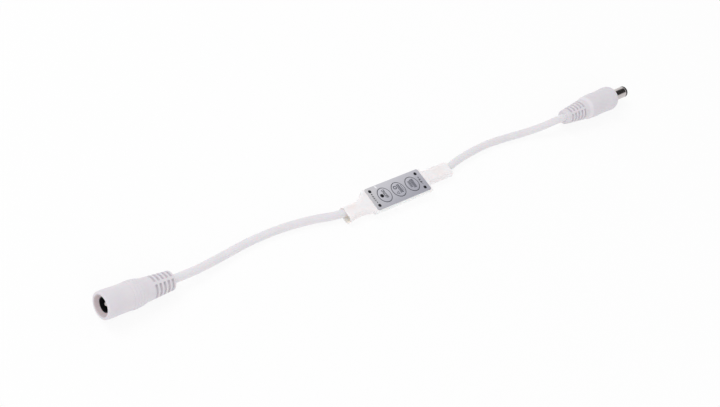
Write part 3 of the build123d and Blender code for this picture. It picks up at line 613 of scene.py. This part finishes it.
class Grower(Tree):
    """A geometry node tree with named sizes, run on a mesh and left as a plain mesh."""

    def __init__(self, name, **kinds):
        self.group = bpy.data.node_groups.new(name, "GeometryNodeTree")
        super().__init__(self.group)
        sockets = self.group.interface
        sockets.new_socket("Geometry", in_out="OUTPUT", socket_type="NodeSocketGeometry")
        sockets.new_socket("Geometry", in_out="INPUT", socket_type="NodeSocketGeometry")
        for key, kind in kinds.items():
            title = key.replace("_", " ").title()
            sockets.new_socket(title, in_out="INPUT", socket_type=f"NodeSocket{kind}")
        self.start = self.nodes.new("NodeGroupInput")

    def size(self, name):
        """A named input."""
        return Value(self, self.start.outputs[name])

    def end(self, geometry):
        """Realizes what was made and gives it the material."""
        real = self.node("GeometryNodeRealizeInstances", None, {0: geometry})
        clad = self.node(
            "GeometryNodeSetMaterial", None, {"Geometry": real, "Material": self.size("Material")}
        )
        out = self.nodes.new("NodeGroupOutput")
        self.links.new(clad.socket, out.inputs[0])

    def grow(self, piece, **sizes):
        """Runs the tree on the piece's mesh with these sizes."""
        modifier = piece.modifiers.new("grower", "NODES")
        modifier.node_group = self.group
        for socket in self.group.interface.items_tree:
            key = socket.name.lower().replace(" ", "_")
            if socket.in_out == "INPUT" and key in sizes:
                modifier[socket.identifier] = sizes[key]
        grown = plain_mesh(piece)
        piece.modifiers.clear()
        piece.data = grown


def printed(name, roughness, dark, light):
    """Screen ink, laid on a little unevenly."""
    ink = Finish(name, roughness=roughness)
    fine = ink.grain(0.12)
    return ink.lay(relief=fine, depth=0.002, base_color=ink.blend(fine, dark, light))


dark_ink = printed("black_print", 0.4, rgb(14, 15, 20), rgb(30, 31, 38))
grey_ink = printed("grey_print", 0.42, rgb(78, 80, 90), rgb(98, 100, 110))
ink_thickness = 0.012
ink_level = label_top + ink_thickness / 2

dots = Grower(
    "register dots", material="Material", spacing_x="Float", spacing_y="Float", radius="Float"
)
spread = {"Size X": dots.size("Spacing X"), "Size Y": dots.size("Spacing Y")}
grid = dots.node("GeometryNodeMeshGrid", None, {**spread, "Vertices X": 2, "Vertices Y": 2})
disc_sizes = {"Vertices": 40, "Radius": dots.size("Radius"), "Depth": ink_thickness * mm}
disc = dots.node("GeometryNodeMeshCylinder", {"fill_type": "NGON"}, disc_sizes)
dots.end(dots.node("GeometryNodeInstanceOnPoints", None, {"Points": grid, "Instance": disc}))


def settled(piece, body, x, y, z, turn=0.0):
    """Puts a finished flat mark in place, in its mesh, and lets it ride."""
    move = Matrix.Translation((x * mm, y * mm, z * mm)) @ Matrix.Rotation(turn, 4, "Z")
    piece.data.transform(move)
    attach(piece, body)


register = shown("register_dots", [(0, 0, 0)], [], smooth=False)
dots.grow(register, material=dark_ink, spacing_x=27.0 * mm, spacing_y=7.6 * mm, radius=0.78 * mm)
settled(register, "dimmer", label_middle - 0.25, 0.15, ink_level)

bar_lengths = dict.fromkeys(("pitch", "width", "shortest", "growth"), "Float")
bars = Grower("level bars", material="Material", count="Int", **bar_lengths)
steps = bars.node("GeometryNodeInputIndex")
between = bars.node("ShaderNodeCombineXYZ", None, {1: bars.size("Pitch")})
row = bars.node("GeometryNodeMeshLine", None, {"Count": bars.size("Count"), "Offset": between})
height = bars.size("Shortest") + steps * bars.size("Growth")
bar_sizes = {0: height, 1: bars.size("Width"), 2: ink_thickness * mm}
bar_scale = bars.node("ShaderNodeCombineXYZ", None, bar_sizes)
block = bars.node("GeometryNodeMeshCube", None, {"Size": (1, 1, 1)})
raised = bars.node("GeometryNodeTransform", None, {"Geometry": block, "Translation": (0.5, 0, 0)})
on_row = {"Points": row, "Instance": raised, "Scale": bar_scale}
bars.end(bars.node("GeometryNodeInstanceOnPoints", None, on_row))


def level_bars(name, body, place, count, width, shortest, growth):
    """A row of grey bars along Y, standing towards +X, each longer by growth than the last."""
    pitch = 0.56
    marks = shown(name, [(0, 0, 0)], [], smooth=False)
    bars.grow(
        marks,
        material=grey_ink,
        count=count,
        pitch=pitch * mm,
        width=width * mm,
        shortest=shortest * mm,
        growth=growth * mm,
    )
    settled(marks, body, *place)


def outline_mark(name, body, corners, line, place, material=grey_ink):
    """A closed outline of that line width, drawn flat."""
    centre_x = sum(x for x, y in corners) / len(corners)
    centre_y = sum(y for x, y in corners) / len(corners)
    points = []
    for z in (-ink_thickness / 2, ink_thickness / 2):
        for inward in (0, 1):
            for x, y in corners:
                reach = hypot(x - centre_x, y - centre_y)
                share = 1 - inward * line / reach
                px = centre_x + (x - centre_x) * share
                py = centre_y + (y - centre_y) * share
                points.append((px * mm, py * mm, z * mm))
    count = len(corners)
    order = [points[k * count : (k + 1) * count] for k in (2, 3, 1, 0)]
    faces = rings_to_faces(4, count, closed=True)
    mark = shown(name, [p for ring in order for p in ring], faces, material, smooth=False)
    settled(mark, body, *place)


def strokes(name, body, lines, place, material=dark_ink):
    """Short straight strokes, each from its middle, length along X and length along Y."""
    points, faces = [], []
    for x, y, size_x, size_y in lines:
        base = len(points)
        for z in (-ink_thickness / 2, ink_thickness / 2):
            for sign_x, sign_y in ((-1, -1), (1, -1), (1, 1), (-1, 1)):
                px, py = x + sign_x * size_x / 2, y + sign_y * size_y / 2
                points.append((px * mm, py * mm, z * mm))
        sides = [(n, (n + 1) % 4, (n + 1) % 4 + 4, n + 4) for n in range(4)]
        faces += [tuple(base + v for v in f) for f in [(3, 2, 1, 0), (4, 5, 6, 7), *sides]]
    mark = shown(name, points, faces, material, smooth=False)
    settled(mark, body, *place)


end_left, end_right = label_left + 2.0, label_left + label_length - 2.35
input_plus = [(0, 2.3, 0.85, 0.26), (0, 2.58, 0.26, 0.3), (0, 2.02, 0.26, 0.3)]
input_marks = [*input_plus, (0, -1.95, 0.3, 0.85)]
strokes("input_polarity", "dimmer", input_marks, (end_left, 0.1, ink_level))
arrow = [(0.5, 0), (-0.4, 0.45), (-0.4, -0.45)]
for n, y in enumerate((1.3, 0.28, -0.74)):
    outline_mark(f"input_arrow_{n}", "dimmer", arrow, 0.36, (end_left, y, ink_level), dark_ink)
wide = [(0.65, 0), (-0.5, 0.6), (-0.5, -0.6)]
output_plus = [(0, 1.65, 0.8, 0.24), (0, 1.91, 0.24, 0.28), (0, 1.39, 0.24, 0.28)]
output_marks = [*output_plus, (0, -1.85, 0.26, 0.8)]
strokes("output_polarity", "dimmer", output_marks, (end_right, 0.2, ink_level), grey_ink)
for n, y in enumerate((0.68, -0.62)):
    outline_mark(f"output_arrow_{n}", "dimmer", wide, 0.5, (end_right, y, ink_level), dark_ink)


# Push keys. Three oval silver-grey pads, softly domed, which stand a little proud of the
# label and ride on the switch stems. ON/OFF and level signs are printed on them.
key_top, key_edge_drop = 4.6, 0.03
key_film = Finish("key_film", specular_ior_level=0.5, coat_weight=0.3, coat_roughness=0.25)
key_flakes = key_film.grain(0.05)
key_broad = key_film.grain(5)
# Painted shade: the key darkens from its upper left to its lower right, as the label does.
key_painted_shade = key_film.step(painted_shade_fall(key_film) + 0.1 * (key_broad - 0.5), 0.0, 1.0)
key_face = key_film.blend(key_painted_shade, rgb(206, 205, 213), rgb(169, 169, 181))
near_rim = nearest_oval(key_film, key_half_x, key_half_y)
# Painted shade: a dark line along the key's rim, next to the gap.
key_rim_painted_shade = key_film.step(near_rim, 0.95, 0.985)
key_grey = key_film.lay(
    relief=key_flakes,
    depth=0.003,
    base_color=key_film.blend(key_rim_painted_shade, key_face, rgb(112, 113, 122)),
    roughness=0.34 + 0.14 * key_flakes,
)


def key_dome(share):
    """Height of the pad's skin at a share of the way from its middle to its edge."""
    return key_top - key_edge_drop * share * share


def key_pad(name, node, body, x):
    """An oval pad with a rolled edge and a round pusher under it, as one closed form."""
    count, roll_steps = 96, 5
    roll_from, roll_width, roll_drop = 0.965, 0.035, 0.12
    pad_foot, pusher_foot, pusher_radius = 3.9, 3.7, 1.2
    ladder = [(share, share, key_dome(share)) for share in (0.2, 0.4, 0.6, 0.75, 0.88, roll_from)]
    for n in range(1, roll_steps + 1):
        turn = n / roll_steps * pi / 2
        share = 1 - roll_width * (1 - sin(turn))
        ladder.append((share, share, key_dome(roll_from) - roll_drop * (1 - cos(turn))))
    ladder.append((1, 1, pad_foot))
    pusher = (pusher_radius / key_half_x, pusher_radius / key_half_y)
    ladder += [(*pusher, pad_foot), (*pusher, pusher_foot)]
    points = []
    for share_x, share_y, z in ladder:
        for turn in full_turn(count):
            px = x + key_half_x * share_x * cos(turn)
            points.append((px * mm, key_half_y * share_y * sin(turn) * mm, z * mm))
    top, foot = len(points), len(points) + 1
    points += [(x * mm, 0, key_top * mm), (x * mm, 0, pusher_foot * mm)]
    faces = [f[::-1] for f in rings_to_faces(len(ladder), count)]
    last = (len(ladder) - 1) * count
    for n in range(count):
        m = (n + 1) % count
        faces.append((top, n, m))
        faces.append((foot, last + m, last + n))
    pad = shown(name, points, faces, key_grey, sharp=40)
    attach(pad, body)
    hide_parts(node)


for place, key_x in zip(places, key_places):
    key_pad(f"key_{place}", f"button_{place}", f"{place}_button", key_x)

on_key = key_top + 0.002
power_dot = [(0.92 * cos(turn), 0.92 * sin(turn)) for turn in full_turn(32)]
left_x, middle_x, right_x = key_places
outline_mark("power_dot", "left_button", power_dot, 0.91, (left_x - 1.5, 0.05, on_key), dark_ink)

# Heavy capitals that read along Y, drawn narrower than they are tall.
letters = bpy.data.curves.new("on_off_letters", "FONT")
letters.body = "ON/OFF"
letters.size = 2.2 * mm
letters.offset = 0.045 * mm
letters.align_x, letters.align_y = "CENTER", "CENTER"
letters.extrude = ink_thickness / 2 * mm
typeset = placed("on_off_letters", letters)
word_mesh = plain_mesh(typeset)
bpy.data.objects.remove(typeset)
narrowing = 0.55
word_mesh.transform(Matrix.Diagonal((narrowing, 1, 1, 1)))
word_mesh.materials.clear()
word_mesh.materials.append(dark_ink)
word = placed("on_off_letters", word_mesh)
settled(word, "left_button", left_x + 0.35, 0.45, on_key, turn=-pi / 2)

half_moon = [(0.95 * sin(turn), 0.9 * cos(turn)) for turn in full_turn(24)]
triangle_down = [(-0.8, 0), (0.6, 0.85), (0.6, -0.85)]
outline_mark("dim_half_moon", "middle_button", half_moon, 0.42, (middle_x - 1.2, 1.35, on_key))
outline_mark("dim_triangle", "middle_button", triangle_down, 0.4, (middle_x - 1.35, -1.45, on_key))
level_bars("dim_bars", "middle_button", (middle_x + 0.05, -1.75, on_key), 8, 0.37, 1.75, -0.03)
strokes("dim_rule", "middle_button", [(0, 0, 0.2, 3.2)], (middle_x + 2.3, 0.2, on_key), grey_ink)
level_bars("bright_bars", "right_button", (right_x - 0.25, -1.85, on_key), 8, 0.37, 1.7, 0.03)
level_bars("bright_row", "right_button", (right_x - 1.8, -1.2, on_key), 6, 0.34, 1.3, 0.04)


# Free cables. Both lie loose beside the sleeve and rise only at the connectors, which are
# thicker than the cable and lie on the same surface.
cable_radius = 1.75
input_route = [
    *[(-32.0, 0.4, 2.15), (-33.4, 0.4, 2.15), (-38.0, 0.95, 2.13), (-46.5, 2.95, 1.9)],
    *[(-62.0, 4.7, 1.78), (-80.0, 4.4, 1.78), (-97.5, 2.0, 2.4)],
    *[(-111.317, 0.3, 4.04), (-120.5, 0.3, 4.601)],
]
output_route = [
    *[(32.0, 2.0, 2.15), (33.4, 2.0, 2.15), (38.0, 3.25, 2.1), (46.5, 4.6, 1.9)],
    *[(62.0, 5.9, 1.78), (80.0, 4.5, 1.8), (92.0, 2.9, 3.2)],
    *[(101.002, 1.931, 5.95), (109.5, 2.109, 5.95)],
]


def free_cable(name, node, route):
    """A round cable whose spline has the route's points as its control points."""
    curve = bpy.data.curves.new(name, "CURVE")
    curve.dimensions = "3D"
    spline = curve.splines.new("NURBS")
    spline.points.add(len(route) - 1)
    for point, (x, y, z) in zip(spline.points, route):
        point.co = (x * mm, y * mm, z * mm, 1)
    spline.order_u = 3
    spline.use_endpoint_u = True
    curve.resolution_u = 24
    curve.bevel_depth = cable_radius * mm
    curve.bevel_resolution = 10
    curve.use_fill_caps = True
    curve.materials.append(white_jacket)
    cable = placed(name, curve)
    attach(cable, "dimmer")
    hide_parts(node)
    return cable


free_input = free_cable("free_input_cable", "input_cable", input_route)
free_output = free_cable("free_output_cable", "output_cable", output_route)


# Moulded jack. Soft white PVC moulded over the socket and the cable: a funnel mouth, a
# waisted grip with four fine rings, a shoulder and a slotted strain relief.
def faired(knots, steps=10):
    """A smooth line through knots, each a place along the axis and a radius."""
    line = []
    ends = [knots[0], *knots, knots[-1]]
    for before, start, stop, after in zip(ends, ends[1:], ends[2:], ends[3:]):
        for n in range(steps):
            t = n / steps
            point = []
            for b, s, e, a in zip(before, start, stop, after):
                rise = (2 * b - 5 * s + 4 * e - a) * t * t + (3 * s - b - 3 * e + a) * t**3
                point.append(s + ((e - b) * t + rise) / 2)
            line.append(tuple(point))
    return [*line, knots[-1]]


def even(start, stop, pitch):
    """Points at about that pitch on a straight line, without the last."""
    count = max(1, round(abs(stop[0] - start[0]) / pitch))
    return [tuple(a + (b - a) * n / count for a, b in zip(start, stop)) for n in range(count)]


def turned(name, profile, material, count=128, sharp=35):
    """A closed ring of a profile turned on the X axis, each a place along it and a radius."""
    points = []
    for place, radius in profile:
        for turn in full_turn(count):
            points.append((place * mm, radius * sin(turn) * mm, radius * cos(turn) * mm))
    faces = rings_to_faces(len(profile), count, closed=True)
    return shown(name, points, faces, material, sharp=sharp)


def soft_pvc(name, pale, shaded, start, way, slots, mouth=0.0, lip=0.0):
    """White moulded PVC: fine grain, faint flow marks, and painted shade low down and in slots.

    Start is a point on the axis, way its direction, slots the two ends of the strain
    relief with the radius at each, mouth how deep the funnel inside is painted dark as
    shade, lip where a band round the shoulder is painted lighter as a highlight.
    """
    skin = Finish(name, specular_ior_level=0.4, subsurface_weight=0.1, subsurface_scale=0.5 * mm)
    fine = skin.grain(0.09)
    flow_marks = skin.grain(3.5, (0.5, 1, 1), 3.0)
    # Painted shade: the colour darkens towards the shaded tone within 5 mm of the floor.
    low = 1 - skin.step(skin.z, 0.5 * mm, 5.0 * mm)
    colour = skin.blend(0.25 * low, skin.blend(flow_marks, pale, shaded), shaded)
    maths = "ShaderNodeVectorMath"
    arm = skin.node(maths, {"operation": "SUBTRACT"}, {0: skin.place, 1: [c * mm for c in start]})
    along = skin.node(maths, {"operation": "DOT_PRODUCT"}, {0: arm, 1: way}, "Value")
    reach = skin.node(maths, {"operation": "LENGTH"}, {0: arm}, "Value")
    out = (reach * reach - along * along).most(0.0) ** 0.5
    (slots_from, first_radius), (slots_to, last_radius) = slots
    slope = (last_radius - first_radius) / (slots_to - slots_from)
    skin_radius = first_radius * mm + (along - slots_from * mm) * slope
    in_slots = (along > slots_from * mm) * (along < slots_to * mm)
    # Painted shade on the floors of the slots, darker where they sink deeper.
    painted_slot_shade = in_slots * skin.step(skin_radius - out, 0.15 * mm, 0.7 * mm)
    colour = skin.blend(0.3 * painted_slot_shade, colour, rgb(176, 168, 176))
    if lip:
        # Painted highlight: a lighter band round the plug's shoulder.
        painted_highlight_band = 1 - skin.step(abs(along - lip * mm), 0.5 * mm, 1.6 * mm)
        colour = skin.blend(0.75 * painted_highlight_band, colour, rgb(236, 232, 237))
    if mouth:
        # Painted shade inside the funnel mouth.
        before_grip = along < mouth * mm
        funnel_radius = out - 0.42 * (mouth * mm - along)
        painted_mouth_shade = before_grip * (1 - skin.step(funnel_radius, 3.55 * mm, 3.95 * mm))
        colour = skin.blend(0.8 * painted_mouth_shade, colour, rgb(186, 170, 172))
    return skin.lay(
        relief=fine + 0.8 * flow_marks,
        depth=0.012,
        base_color=colour,
        roughness=0.48 + 0.12 * fine,
    )


jack_rim, jack_tilt = (-151.84143, 0.3, 6.51805), radians(3.5)
jack_place = Matrix.Translation([c * mm for c in jack_rim])
jack_place @= Matrix.Rotation(jack_tilt, 4, "Y")
quarter_turn = [n / 6 * pi / 2 for n in range(7)]
rim_round = [(0.75 - 0.75 * cos(turn), 5.0 + 0.56 * sin(turn)) for turn in quarter_turn[:6]]
grip = faired([(0.75, 5.55), (3.6, 5.6), (8.4, 5.42), (13.4, 5.65), (16.6, 5.3), (18.6, 4.75)], 14)
ring_places, ring_half_width, ring_depth = (11.4, 12.8, 14.2, 15.6), 0.14, 0.15
fine_grip = []
for (a, ra), (b, rb) in zip(grip, grip[1:]):
    among_rings = ring_places[0] - 0.3 < (a + b) / 2 < ring_places[-1] + 0.3
    fine_grip += even((a, ra), (b, rb), 0.07 if among_rings else 0.3)
ring_cut = []
for place, radius in fine_grip:
    off_rings = min(abs(place - centre) for centre in ring_places)
    sunk = max(0.0, 1 - (off_rings / ring_half_width) ** 2)
    ring_cut.append((place, radius - ring_depth * sunk))
jack_profile = [
    (0.02, 4.42),
    (0.0, 4.5),
    *rim_round,
    *ring_cut,
    *even((18.6, 4.75), (19.6, 4.75), 0.2),
    *even((19.6, 4.75), (31.0, 3.95), 0.06),
    *[(31.0, 3.95), (31.2, 3.86), (31.4, 3.55), (31.4, 2.6), (31.4, 1.75), (20.5, 1.75)],
    *[(20.5, 3.3), (13.5, 3.3), (13.5, 3.75), (1.5, 3.75), (1.5, 3.15), (1.0, 3.55), (0.4, 4.1)],
]

# Sinks slots into the skin round the X axis, and leaves a rib along each parting line.
relief = Grower(
    "slotted strain relief",
    material="Material",
    first_slot="Float",
    slot_count="Int",
    slot_pitch="Float",
    slot_width="Float",
    slot_depth="Float",
    rib_angle="Float",
    rib_roll="Float",
    least_radius="Float",
    softness="Float",
)
arm_x, arm_y, arm_z = relief.parts(relief.node("GeometryNodeInputPosition"))
from_first = arm_x - relief.size("First Slot")
pitch_steps = (from_first / relief.size("Slot Pitch")).sum("ROUND", 0.0)
slot_number = pitch_steps.most(0.0).least(relief.size("Slot Count") - 1)
off_slot = abs(from_first - slot_number * relief.size("Slot Pitch"))
soft = relief.size("Softness")
half = relief.size("Slot Width") / 2
in_slot = 1 - relief.step(off_slot, half - soft, half + soft)
radius_here = (arm_y * arm_y + arm_z * arm_z) ** 0.5
around = (arm_y * -1.0).sum("ARCTAN2", arm_z) - relief.size("Rib Roll")
angle_here = pi / 2 - abs(abs(around.sum("FLOORED_MODULO", 2 * pi) - pi) - pi / 2)
off_rib = (angle_here - relief.size("Rib Angle") / 2) * radius_here
beside_rib = relief.step(off_rib, soft * -1.0, soft)
on_skin = radius_here > relief.size("Least Radius")
sink = in_slot * beside_rib * on_skin * relief.size("Slot Depth") / radius_here.most(0.0001)
inward = relief.node("ShaderNodeCombineXYZ", None, {1: arm_y * sink * -1.0, 2: arm_z * sink * -1.0})
slotted = {"Geometry": relief.size("Geometry"), "Offset": inward}
relief.end(relief.node("GeometryNodeSetPosition", None, slotted))

white_jack = soft_pvc(
    "white_moulded_jack",
    pale=rgb(229, 225, 230),
    shaded=rgb(221, 217, 223),
    start=jack_rim,
    way=(cos(jack_tilt), 0, -sin(jack_tilt)),
    slots=[(19.6, 4.75), (31.4, 3.95)],
    mouth=1.6,
)
jack = turned("moulded_jack", jack_profile, white_jack, 224, sharp=50)
slot_form = {"slot_count": 5, "slot_width": 1.05 * mm, "slot_depth": 0.85 * mm}
slot_form |= {"rib_angle": radians(17), "softness": 0.07 * mm}
relief.grow(
    jack,
    material=white_jack,
    first_slot=22.2 * mm,
    slot_pitch=1.93 * mm,
    rib_roll=radians(12),
    least_radius=3.42 * mm,
    **slot_form,
)
jack.data.transform(jack_place)
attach(jack, "dimmer")
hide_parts("jack_overmould")


# Socket in the jack. A black cup with a nickel-plated centre pin, and a bowed leaf of
# spring metal along its wall. Two cores are joined to their lugs behind it.
hard = Finish("black_socket_plastic")
uneven = hard.grain(0.7)
hard_grain = hard.grain(0.06)
socket_black = hard.lay(
    relief=hard_grain,
    depth=0.004,
    base_color=hard.blend(uneven, rgb(17, 17, 19), rgb(30, 30, 33)),
    roughness=0.34 + 0.2 * uneven,
)
plate = Finish("nickel_plate", metallic=1.0)
turned_rings = plate.grain(0.05, (6, 0.6, 0.6))
haze = plate.grain(1.1)
nickel = plate.lay(
    relief=turned_rings,
    depth=0.0015,
    base_color=plate.blend(haze, rgb(201, 194, 193), rgb(188, 181, 180)),
    roughness=0.1 + 0.06 * turned_rings + 0.05 * haze,
)
coat(socket_black, "jack_insulator")
coat(nickel, "jack_center_pin")
coat(rolled("contact_leaf", rgb(214, 186, 130), rgb(200, 170, 112), 0.25), "jack_contact_spring")


def lead_pair(name, level, strip_x, way, slope=0.0):
    """Two cores side by side, red above and black below, bare towards the lugs."""
    pair = Finish(f"{name}_insulation")
    upper = pair.z - slope * (pair.x - strip_x * mm) > level * mm
    bare = (pair.x - strip_x * mm) * way > 0.0
    dull = pair.grain(0.5)
    cover = pair.blend(upper, soft_black, pair.blend(dull, red, deep_red))
    coat(
        pair.lay(
            relief=dull,
            depth=0.01,
            base_color=pair.blend(bare, cover, rgb(206, 186, 160)),
            metallic=bare,
            roughness=0.4 + 0.1 * dull,
        ),
        name,
    )


lead_pair("jack_lead_wires", level=5.48, strip_x=-135.3, way=-1, slope=-0.061)


# Moulded plug. The same white PVC over the barrel's foot: a slotted strain relief at the
# cable, a shoulder, a waisted grip and a rounded nose.
plug_rear, plug_turn = (109.5, 2.1089, 5.95), radians(1.2)
plug_place = Matrix.Translation([c * mm for c in plug_rear])
plug_place @= Matrix.Rotation(plug_turn, 4, "Z")
nose = [(34.0, 5.86), (35.2, 5.65), (36.2, 5.1), (36.8, 4.45), (37.05, 3.85), (37.1, 3.4)]
plug_profile = [
    *[(0.0, 1.75), (0.0, 2.5), (0.0, 3.1), (0.15, 3.38)],
    *even((0.4, 3.5), (14.3, 4.95), 0.06),
    *even((14.3, 4.95), (16.8, 5.58), 0.2),
    (16.8, 5.58),
    (16.92, 5.46),
    *faired([(17.1, 5.48), (19.0, 5.66), (21.5, 5.76), (27.4, 5.62), (32.4, 5.88), *nose]),
    *[(37.1, 3.05), (31.1, 3.05), (31.1, 3.5), (30.1, 3.5), (30.1, 3.3), (22.6, 3.3), (22.6, 1.75)],
]
white_plug = soft_pvc(
    "white_moulded_plug",
    pale=rgb(228, 224, 229),
    shaded=rgb(220, 216, 222),
    start=plug_rear,
    way=(cos(plug_turn), sin(plug_turn), 0),
    slots=[(0.4, 3.5), (14.3, 4.95)],
    lip=15.4,
)
plug = turned("moulded_plug", plug_profile, white_plug, 224, sharp=50)
relief.grow(
    plug,
    material=white_plug,
    first_slot=2.8 * mm,
    slot_pitch=2.12 * mm,
    rib_roll=radians(20),
    least_radius=3.2 * mm,
    **slot_form,
)
plug.data.transform(plug_place)
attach(plug, "dimmer")
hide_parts("plug_overmould")


# Barrel of the plug. A nickel-plated tube with a flange held in the moulding, a black
# liner whose ring caps its tip, and a slit centre contact behind the entry hole.
flange = [(30.1, 2.45), (30.1, 3.5), (31.1, 3.5), (31.1, 3.05), (37.05, 3.05), (37.05, 2.75)]
tube = even((37.2, 2.75), (46.0, 2.75), 0.4)
barrel_profile = [*flange, *tube, (46.0, 2.75), (46.1, 2.68), (46.1, 2.45)]
barrel = turned("nickel_barrel", barrel_profile, nickel)
barrel.data.transform(plug_place)
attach(barrel, "dimmer")
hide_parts("plug_barrel")
tip_round = [(46.95 + 0.25 * sin(turn), 2.5 + 0.25 * cos(turn)) for turn in quarter_turn]
liner_profile = [(32.6, 0.8), (32.6, 2.45), (46.1, 2.45), (46.12, 2.72), (46.2, 2.75), *tip_round]
liner_profile += [(47.2, 1.35), (46.9, 1.05), (46.1, 1.05), (46.1, 1.5), (34.8, 1.5), (34.8, 0.8)]
liner = turned("black_tip_liner", liner_profile, socket_black)
liner.data.transform(plug_place)
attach(liner, "dimmer")
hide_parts("plug_tip_insulator")
coat(nickel, "plug_center_contact")
lead_pair("plug_lead_wires", level=5.95, strip_x=136.0, way=1)


# Studio. A white surface under the object, a white surround with a darker ceiling that
# only shines back in metal, two large soft lamps, and a camera at the photo's viewpoint.
floor_half, floor_white = 6.0, 0.87
corners = [(x * floor_half, y * floor_half, 0) for x, y in ((-1, -1), (1, -1), (1, 1), (-1, 1))]
paper = Finish("white_paper", roughness=0.9, base_color=(0.95, 0.95, 0.95, 1))
ray, shine, through = paper.rays("Camera", "Glossy", "Transmission")
glow = paper.node("ShaderNodeEmission", None, {"Color": (1, 1, 1, 1), "Strength": 1.0})
body_light = Value(paper, paper.shader.outputs[0])
seen_white = ray.most(shine).most(through) * floor_white
paper_mix = paper.node("ShaderNodeMixShader", None, {0: seen_white, 1: body_light, 2: glow})
paper.links.new(paper_mix.socket, paper.nodes["Material Output"].inputs["Surface"])
floor = shown("floor", corners, [(0, 1, 2, 3)], paper.material, smooth=False)

world = bpy.data.worlds.new("white_surround")
world.use_nodes = True
bpy.context.scene.world = world
surround = Tree(world.node_tree)
way_y, way_z = surround.parts(surround.node("ShaderNodeTexCoord", out="Generated"))[1:]
ray, shine = surround.rays("Camera", "Glossy")
ceiling = surround.step(0.999 * way_z - 0.035 * way_y, 0.3, 0.5)
plain = surround.nodes["Background"]
surround_light, ceiling_dark = 0.74, 0.96
level = surround_light + (1 - surround_light) * ray
level = level * (1 - shine) + shine * (1.0 - ceiling_dark * ceiling)
plain.inputs["Color"].default_value = (1, 1, 1, 1)
surround.links.new(level.socket, plain.inputs["Strength"])


def lamp(name, place, size, power):
    """A large soft lamp that faces the object."""
    light = bpy.data.lights.new(name, "AREA")
    light.shape = "DISK"
    light.size = size
    light.energy = power
    stand = placed(name, light)
    stand.location = place
    stand.rotation_mode = "QUATERNION"
    stand.rotation_quaternion = (-Vector(place)).to_track_quat("-Z", "Y")


lamp("key_lamp", (-0.5, 0.7, 1.1), 0.7, 5.0)
lamp("fill_lamp", (-0.6, -1.1, 0.5), 0.9, 2.3)

# The camera's own axes and its place, as fitted to the photo.
camera_right = Vector((0.7374, -0.5663, 0.3683))
camera_up = Vector((0.2963, 0.7611, 0.577))
camera_back = Vector((-0.607, -0.3164, 0.729))
camera = bpy.data.cameras.new("camera")
camera.lens = 67.5
camera.sensor_width = 36.0
camera.sensor_fit = "HORIZONTAL"
camera.clip_start, camera.clip_end = 0.02, 50.0
eye = placed("camera", camera)
camera_turn = Matrix((camera_right, camera_up, camera_back)).transposed().to_4x4()
eye.matrix_world = Matrix.Translation((-0.3680, -0.1790, 0.4183)) @ camera_turn
bpy.context.scene.camera = eye
bpy.context.scene.view_settings.view_transform = "Standard"
